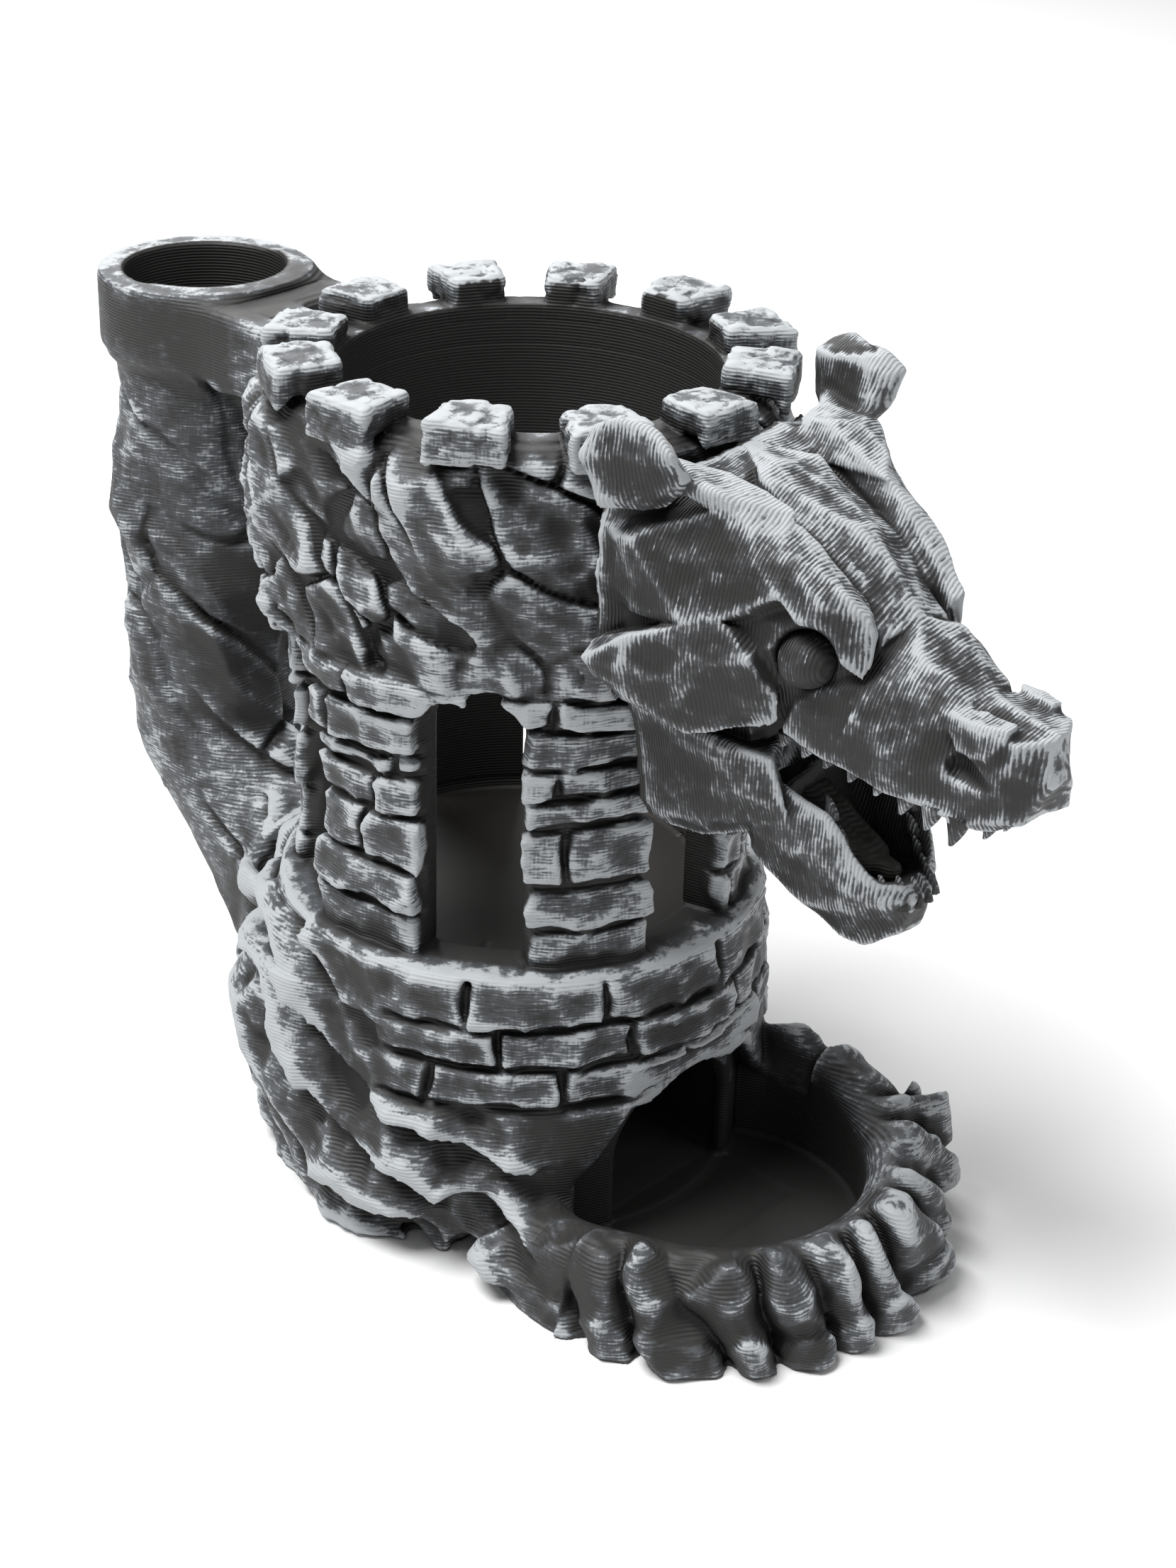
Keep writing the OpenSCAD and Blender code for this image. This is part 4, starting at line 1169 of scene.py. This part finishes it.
stone("bridge", (-34, 44, 116), (34, 70, 168), both(bridge_space, outside(back_merlon)), ["bridge"])
stone("column_collar", (-30, 60, 137), (30, 110, 168), within(y=(BRIDGE_BACK, None), z=(BRIDGE_Z, None)),
      ["column_collar"])
stone("column_shaft", (-34, 44, 62), (34, 110, 145),
      both(within(y=(BACK_SIDE, None), z=(ELBOW_TOP, BRIDGE_Z)), outside(bridge_space),
           outside(round_axis(49.5))), ["column_shaft"])
stone("column_elbow", (-40, 38, 30), (40, 110, 70),
      within(y=(BACK_SIDE, None), z=(BASE_TOP, ELBOW_TOP)), ["column_elbow"])


# ---- the head's pieces ----

head = sculpt_head()
head_maps = edge_maps(head, 0.9, 2.8)
EAR_Z, BROW_Z, CHEEK_X = 157.5, 147, 23
NOSE_Y, SNOUT_Y = -100.0, -80.0


def jaw_split(x, y, z):
    """Above zero over the gap between the jaws."""
    return z - np.minimum(108 + 0.57 * (y + 78), 112.5) + 0 * x


def carved(name, low, high, region):
    """One named piece of the head, which stands for the CAD node of the same name."""
    piece = mesh_piece(name, head, head_maps, low, high, region, head_skin)
    piece.data.materials.append(HEAD_PAINT)
    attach(piece, "head")
    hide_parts(name)


upper = outside(jaw_split)
behind_snout = both(upper, within(y=(SNOUT_Y, None)))
carved("nose", (-20, -120, 100), (20, -96, 140), both(upper, within(y=(None, NOSE_Y))))
carved("snout", (-38, -104, 90), (38, -76, 160), both(upper, within(y=(NOSE_Y, SNOUT_Y))))
carved("lower_jaw", (-30, -110, 68), (30, -30, 118), jaw_split)
carved("skull", HEAD_LOW, (38, -26, 152),
       both(behind_snout, within(x=(-CHEEK_X, CHEEK_X), z=(None, BROW_Z))))
for side, sign in (("left", -1), ("right", 1)):
    low, high = (-2 if sign > 0 else -38, -84, 90), (38 if sign > 0 else 2, -26, 176)
    half = both(behind_snout, one_side(sign))
    carved(f"cheek_{side}", low, high,
           both(behind_snout, one_side(sign, CHEEK_X), within(z=(None, BROW_Z))))
    carved(f"brow_{side}", low, high, both(half, within(z=(BROW_Z, EAR_Z))))
    carved(f"ear_{side}", low, high, both(half, within(z=(EAR_Z, None))))


# The small pieces inside the mouth took little paint
SMALL_LOAD = -0.3
TOOTH_SIDES = 10


def teeth(name, rows):
    """Curved pointed teeth, each a tapering tube that leans back a little towards its tip."""
    bm = bmesh.new()
    tips = []
    for x, y, z, drop, r in rows:
        for side in (1, -1):
            rings = []
            for level in range(7):
                t = level / 6
                cx = side * (x - 0.5 - 0.5 * t)
                cy = y + 1.4 * t * t
                cz = z - math.copysign(1.8, drop) + (drop + math.copysign(1.8, drop)) * t
                wide = r * (1 - 0.82 * t ** 1.4)
                turns = [2 * math.pi * j / TOOTH_SIDES for j in range(TOOTH_SIDES)]
                ring = [(cx + 0.8 * wide * math.cos(q), cy + wide * math.sin(q), cz) for q in turns]
                rings.append([bm.verts.new(Vector(corner) * MM) for corner in ring])
                tips += [t] * TOOTH_SIDES
            for below, above in zip(rings, rings[1:]):
                for j in range(TOOTH_SIDES):
                    after = (j + 1) % TOOTH_SIDES
                    bm.faces.new((below[j], below[after], above[after], above[j]))
            bm.faces.new(rings[0][::-1])
            bm.faces.new(rings[-1])
    bmesh.ops.recalc_face_normals(bm, faces=bm.faces)
    for face in bm.faces:
        face.smooth = True
    mesh = bpy.data.meshes.new(name)
    bm.to_mesh(mesh)
    bm.free()
    flat = np.zeros(len(tips))
    for title, values in (("crisp", 0.35 * np.array(tips) - 0.05), ("broad", flat), ("bare", flat),
                          ("load", flat + SMALL_LOAD)):
        store(mesh, title, values)
    piece = bpy.data.objects.new(name, mesh)
    bpy.context.scene.collection.objects.link(piece)
    mesh.materials.append(HEAD_PAINT)
    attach(piece, "head")
    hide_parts(name)


teeth("upper_teeth", [row for row in TEETH if row[3] < 0])
teeth("lower_teeth", [row for row in TEETH if row[3] > 0])


def small_sculpt(name, low, high, forms, material, node, crisp=0.0, bare=0.0):
    """A small separate piece made of blended forms."""
    clay = Clay(low, high, 0.4)
    for form in forms:
        clay.add(form, low, high, 0.8)
    clay.press(lambda p: 0.2 * blobs(p, 2.5), low, high)
    blank = np.zeros(clay.d.shape, np.float32)
    piece = mesh_piece(name, clay, {"crisp": blank + np.float32(crisp), "broad": blank}, low, high, within(),
                       lambda p: {"bare": np.full(len(p), bare), "load": np.full(len(p), SMALL_LOAD)})
    piece.data.materials.append(material)
    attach(piece, "head")
    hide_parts(node)


tongue_forms = [rod((side * 1.8, -64, 101), (side * 1.6, -80, 92.5), 3.4, 2.6) for side in (1, -1)]
tongue_forms.append(rod((0, -80, 92.5), (0, -84.5, 92), 2.8, 1.8))
small_sculpt("tongue", (-9, -92, 78), (9, -60, 108), tongue_forms, BARE_PLASTIC, "tongue", bare=1.0)
for side, sign in (("left", -1), ("right", 1)):
    x_low, x_high = sorted((sign * 9, sign * 23))
    eyeball = rod((sign * 15.4, -75.8, 133.0), (sign * 15.4, -75.8, 133.1), 4.8, 4.8)
    small_sculpt(f"eye_{side}", (x_low, -84, 124), (x_high, -68, 141), [eyeball], HEAD_PAINT, "eyes",
                 crisp=-0.12)

# The pegs keep their CAD shape
pegs = frame["nodes"]["head_pegs"]
pegs.data.materials.clear()
pegs.data.materials.append(BARE_PLASTIC)


# ---- floor, light and camera ----


def pale_floor():
    """A plain matt floor."""
    mesh = bpy.data.meshes.new("floor")
    mesh.from_pydata([(-3, -3, 0), (3, -3, 0), (3, 3, 0), (-3, 3, 0)], [], [(0, 1, 2, 3)])
    floor = bpy.data.objects.new("floor", mesh)
    bpy.context.scene.collection.objects.link(floor)
    material = bpy.data.materials.new("pale_studio_sweep")
    material.use_nodes = True
    shader = material.node_tree.nodes["Principled BSDF"]
    shader.inputs["Base Color"].default_value = linear("#f4f4f4")
    shader.inputs["Roughness"].default_value = 0.9
    mesh.materials.append(material)


def soft_light(name, place, target, size, power):
    """A round soft box at a place, turned to a target; size in metres, power in watts."""
    lamp = bpy.data.lights.new(name, "AREA")
    lamp.shape = "DISK"
    lamp.size = size
    lamp.energy = power
    lamp_object = bpy.data.objects.new(name, lamp)
    lamp_object.location = place
    lamp_object.rotation_euler = (Vector(target) - Vector(place)).to_track_quat("-Z", "Y").to_euler()
    bpy.context.scene.collection.objects.link(lamp_object)


def studio_camera():
    """A little above the tower's left front corner, looking down at the tray."""
    place = Vector((-352.99, -328.85, 324.75)) * MM
    pitch, yaw, roll = (math.radians(a) for a in (27.1, -1.43, 1.57))
    heading = math.atan2(-place.y, -place.x) + yaw
    forward = Vector((math.cos(heading) * math.cos(pitch),
                      math.sin(heading) * math.cos(pitch),
                      -math.sin(pitch)))
    right = Vector((math.sin(heading), -math.cos(heading), 0))
    up = right.cross(forward)
    tilted_right = right * math.cos(roll) + up * math.sin(roll)
    tilted_up = up * math.cos(roll) - right * math.sin(roll)
    data = bpy.data.cameras.new("studio_camera")
    data.lens = 66.3
    data.sensor_width = 36.0
    camera = bpy.data.objects.new("studio_camera", data)
    camera.matrix_world = Matrix((
        (tilted_right.x, tilted_up.x, -forward.x, place.x),
        (tilted_right.y, tilted_up.y, -forward.y, place.y),
        (tilted_right.z, tilted_up.z, -forward.z, place.z),
        (0, 0, 0, 1)))
    bpy.context.scene.collection.objects.link(camera)
    bpy.context.scene.camera = camera


pale_floor()
soft_light("key_light", (-0.55, 0.25, 1.45), (0, -0.02, 0.1), 0.8, 30)
soft_light("fill_light", (0.5, -1.1, 0.8), (0, -0.05, 0.09), 1.0, 3.0)
soft_light("back_light", (0.6, 0.9, 0.9), (0, 0.03, 0.12), 0.8, 9)
world = bpy.data.worlds.new("studio_room")
world.use_nodes = True
world.node_tree.nodes["Background"].inputs["Color"].default_value = linear("#ffffff")
world.node_tree.nodes["Background"].inputs["Strength"].default_value = 0.22
bpy.context.scene.world = world
bpy.context.scene.view_settings.view_transform = "Standard"
studio_camera()
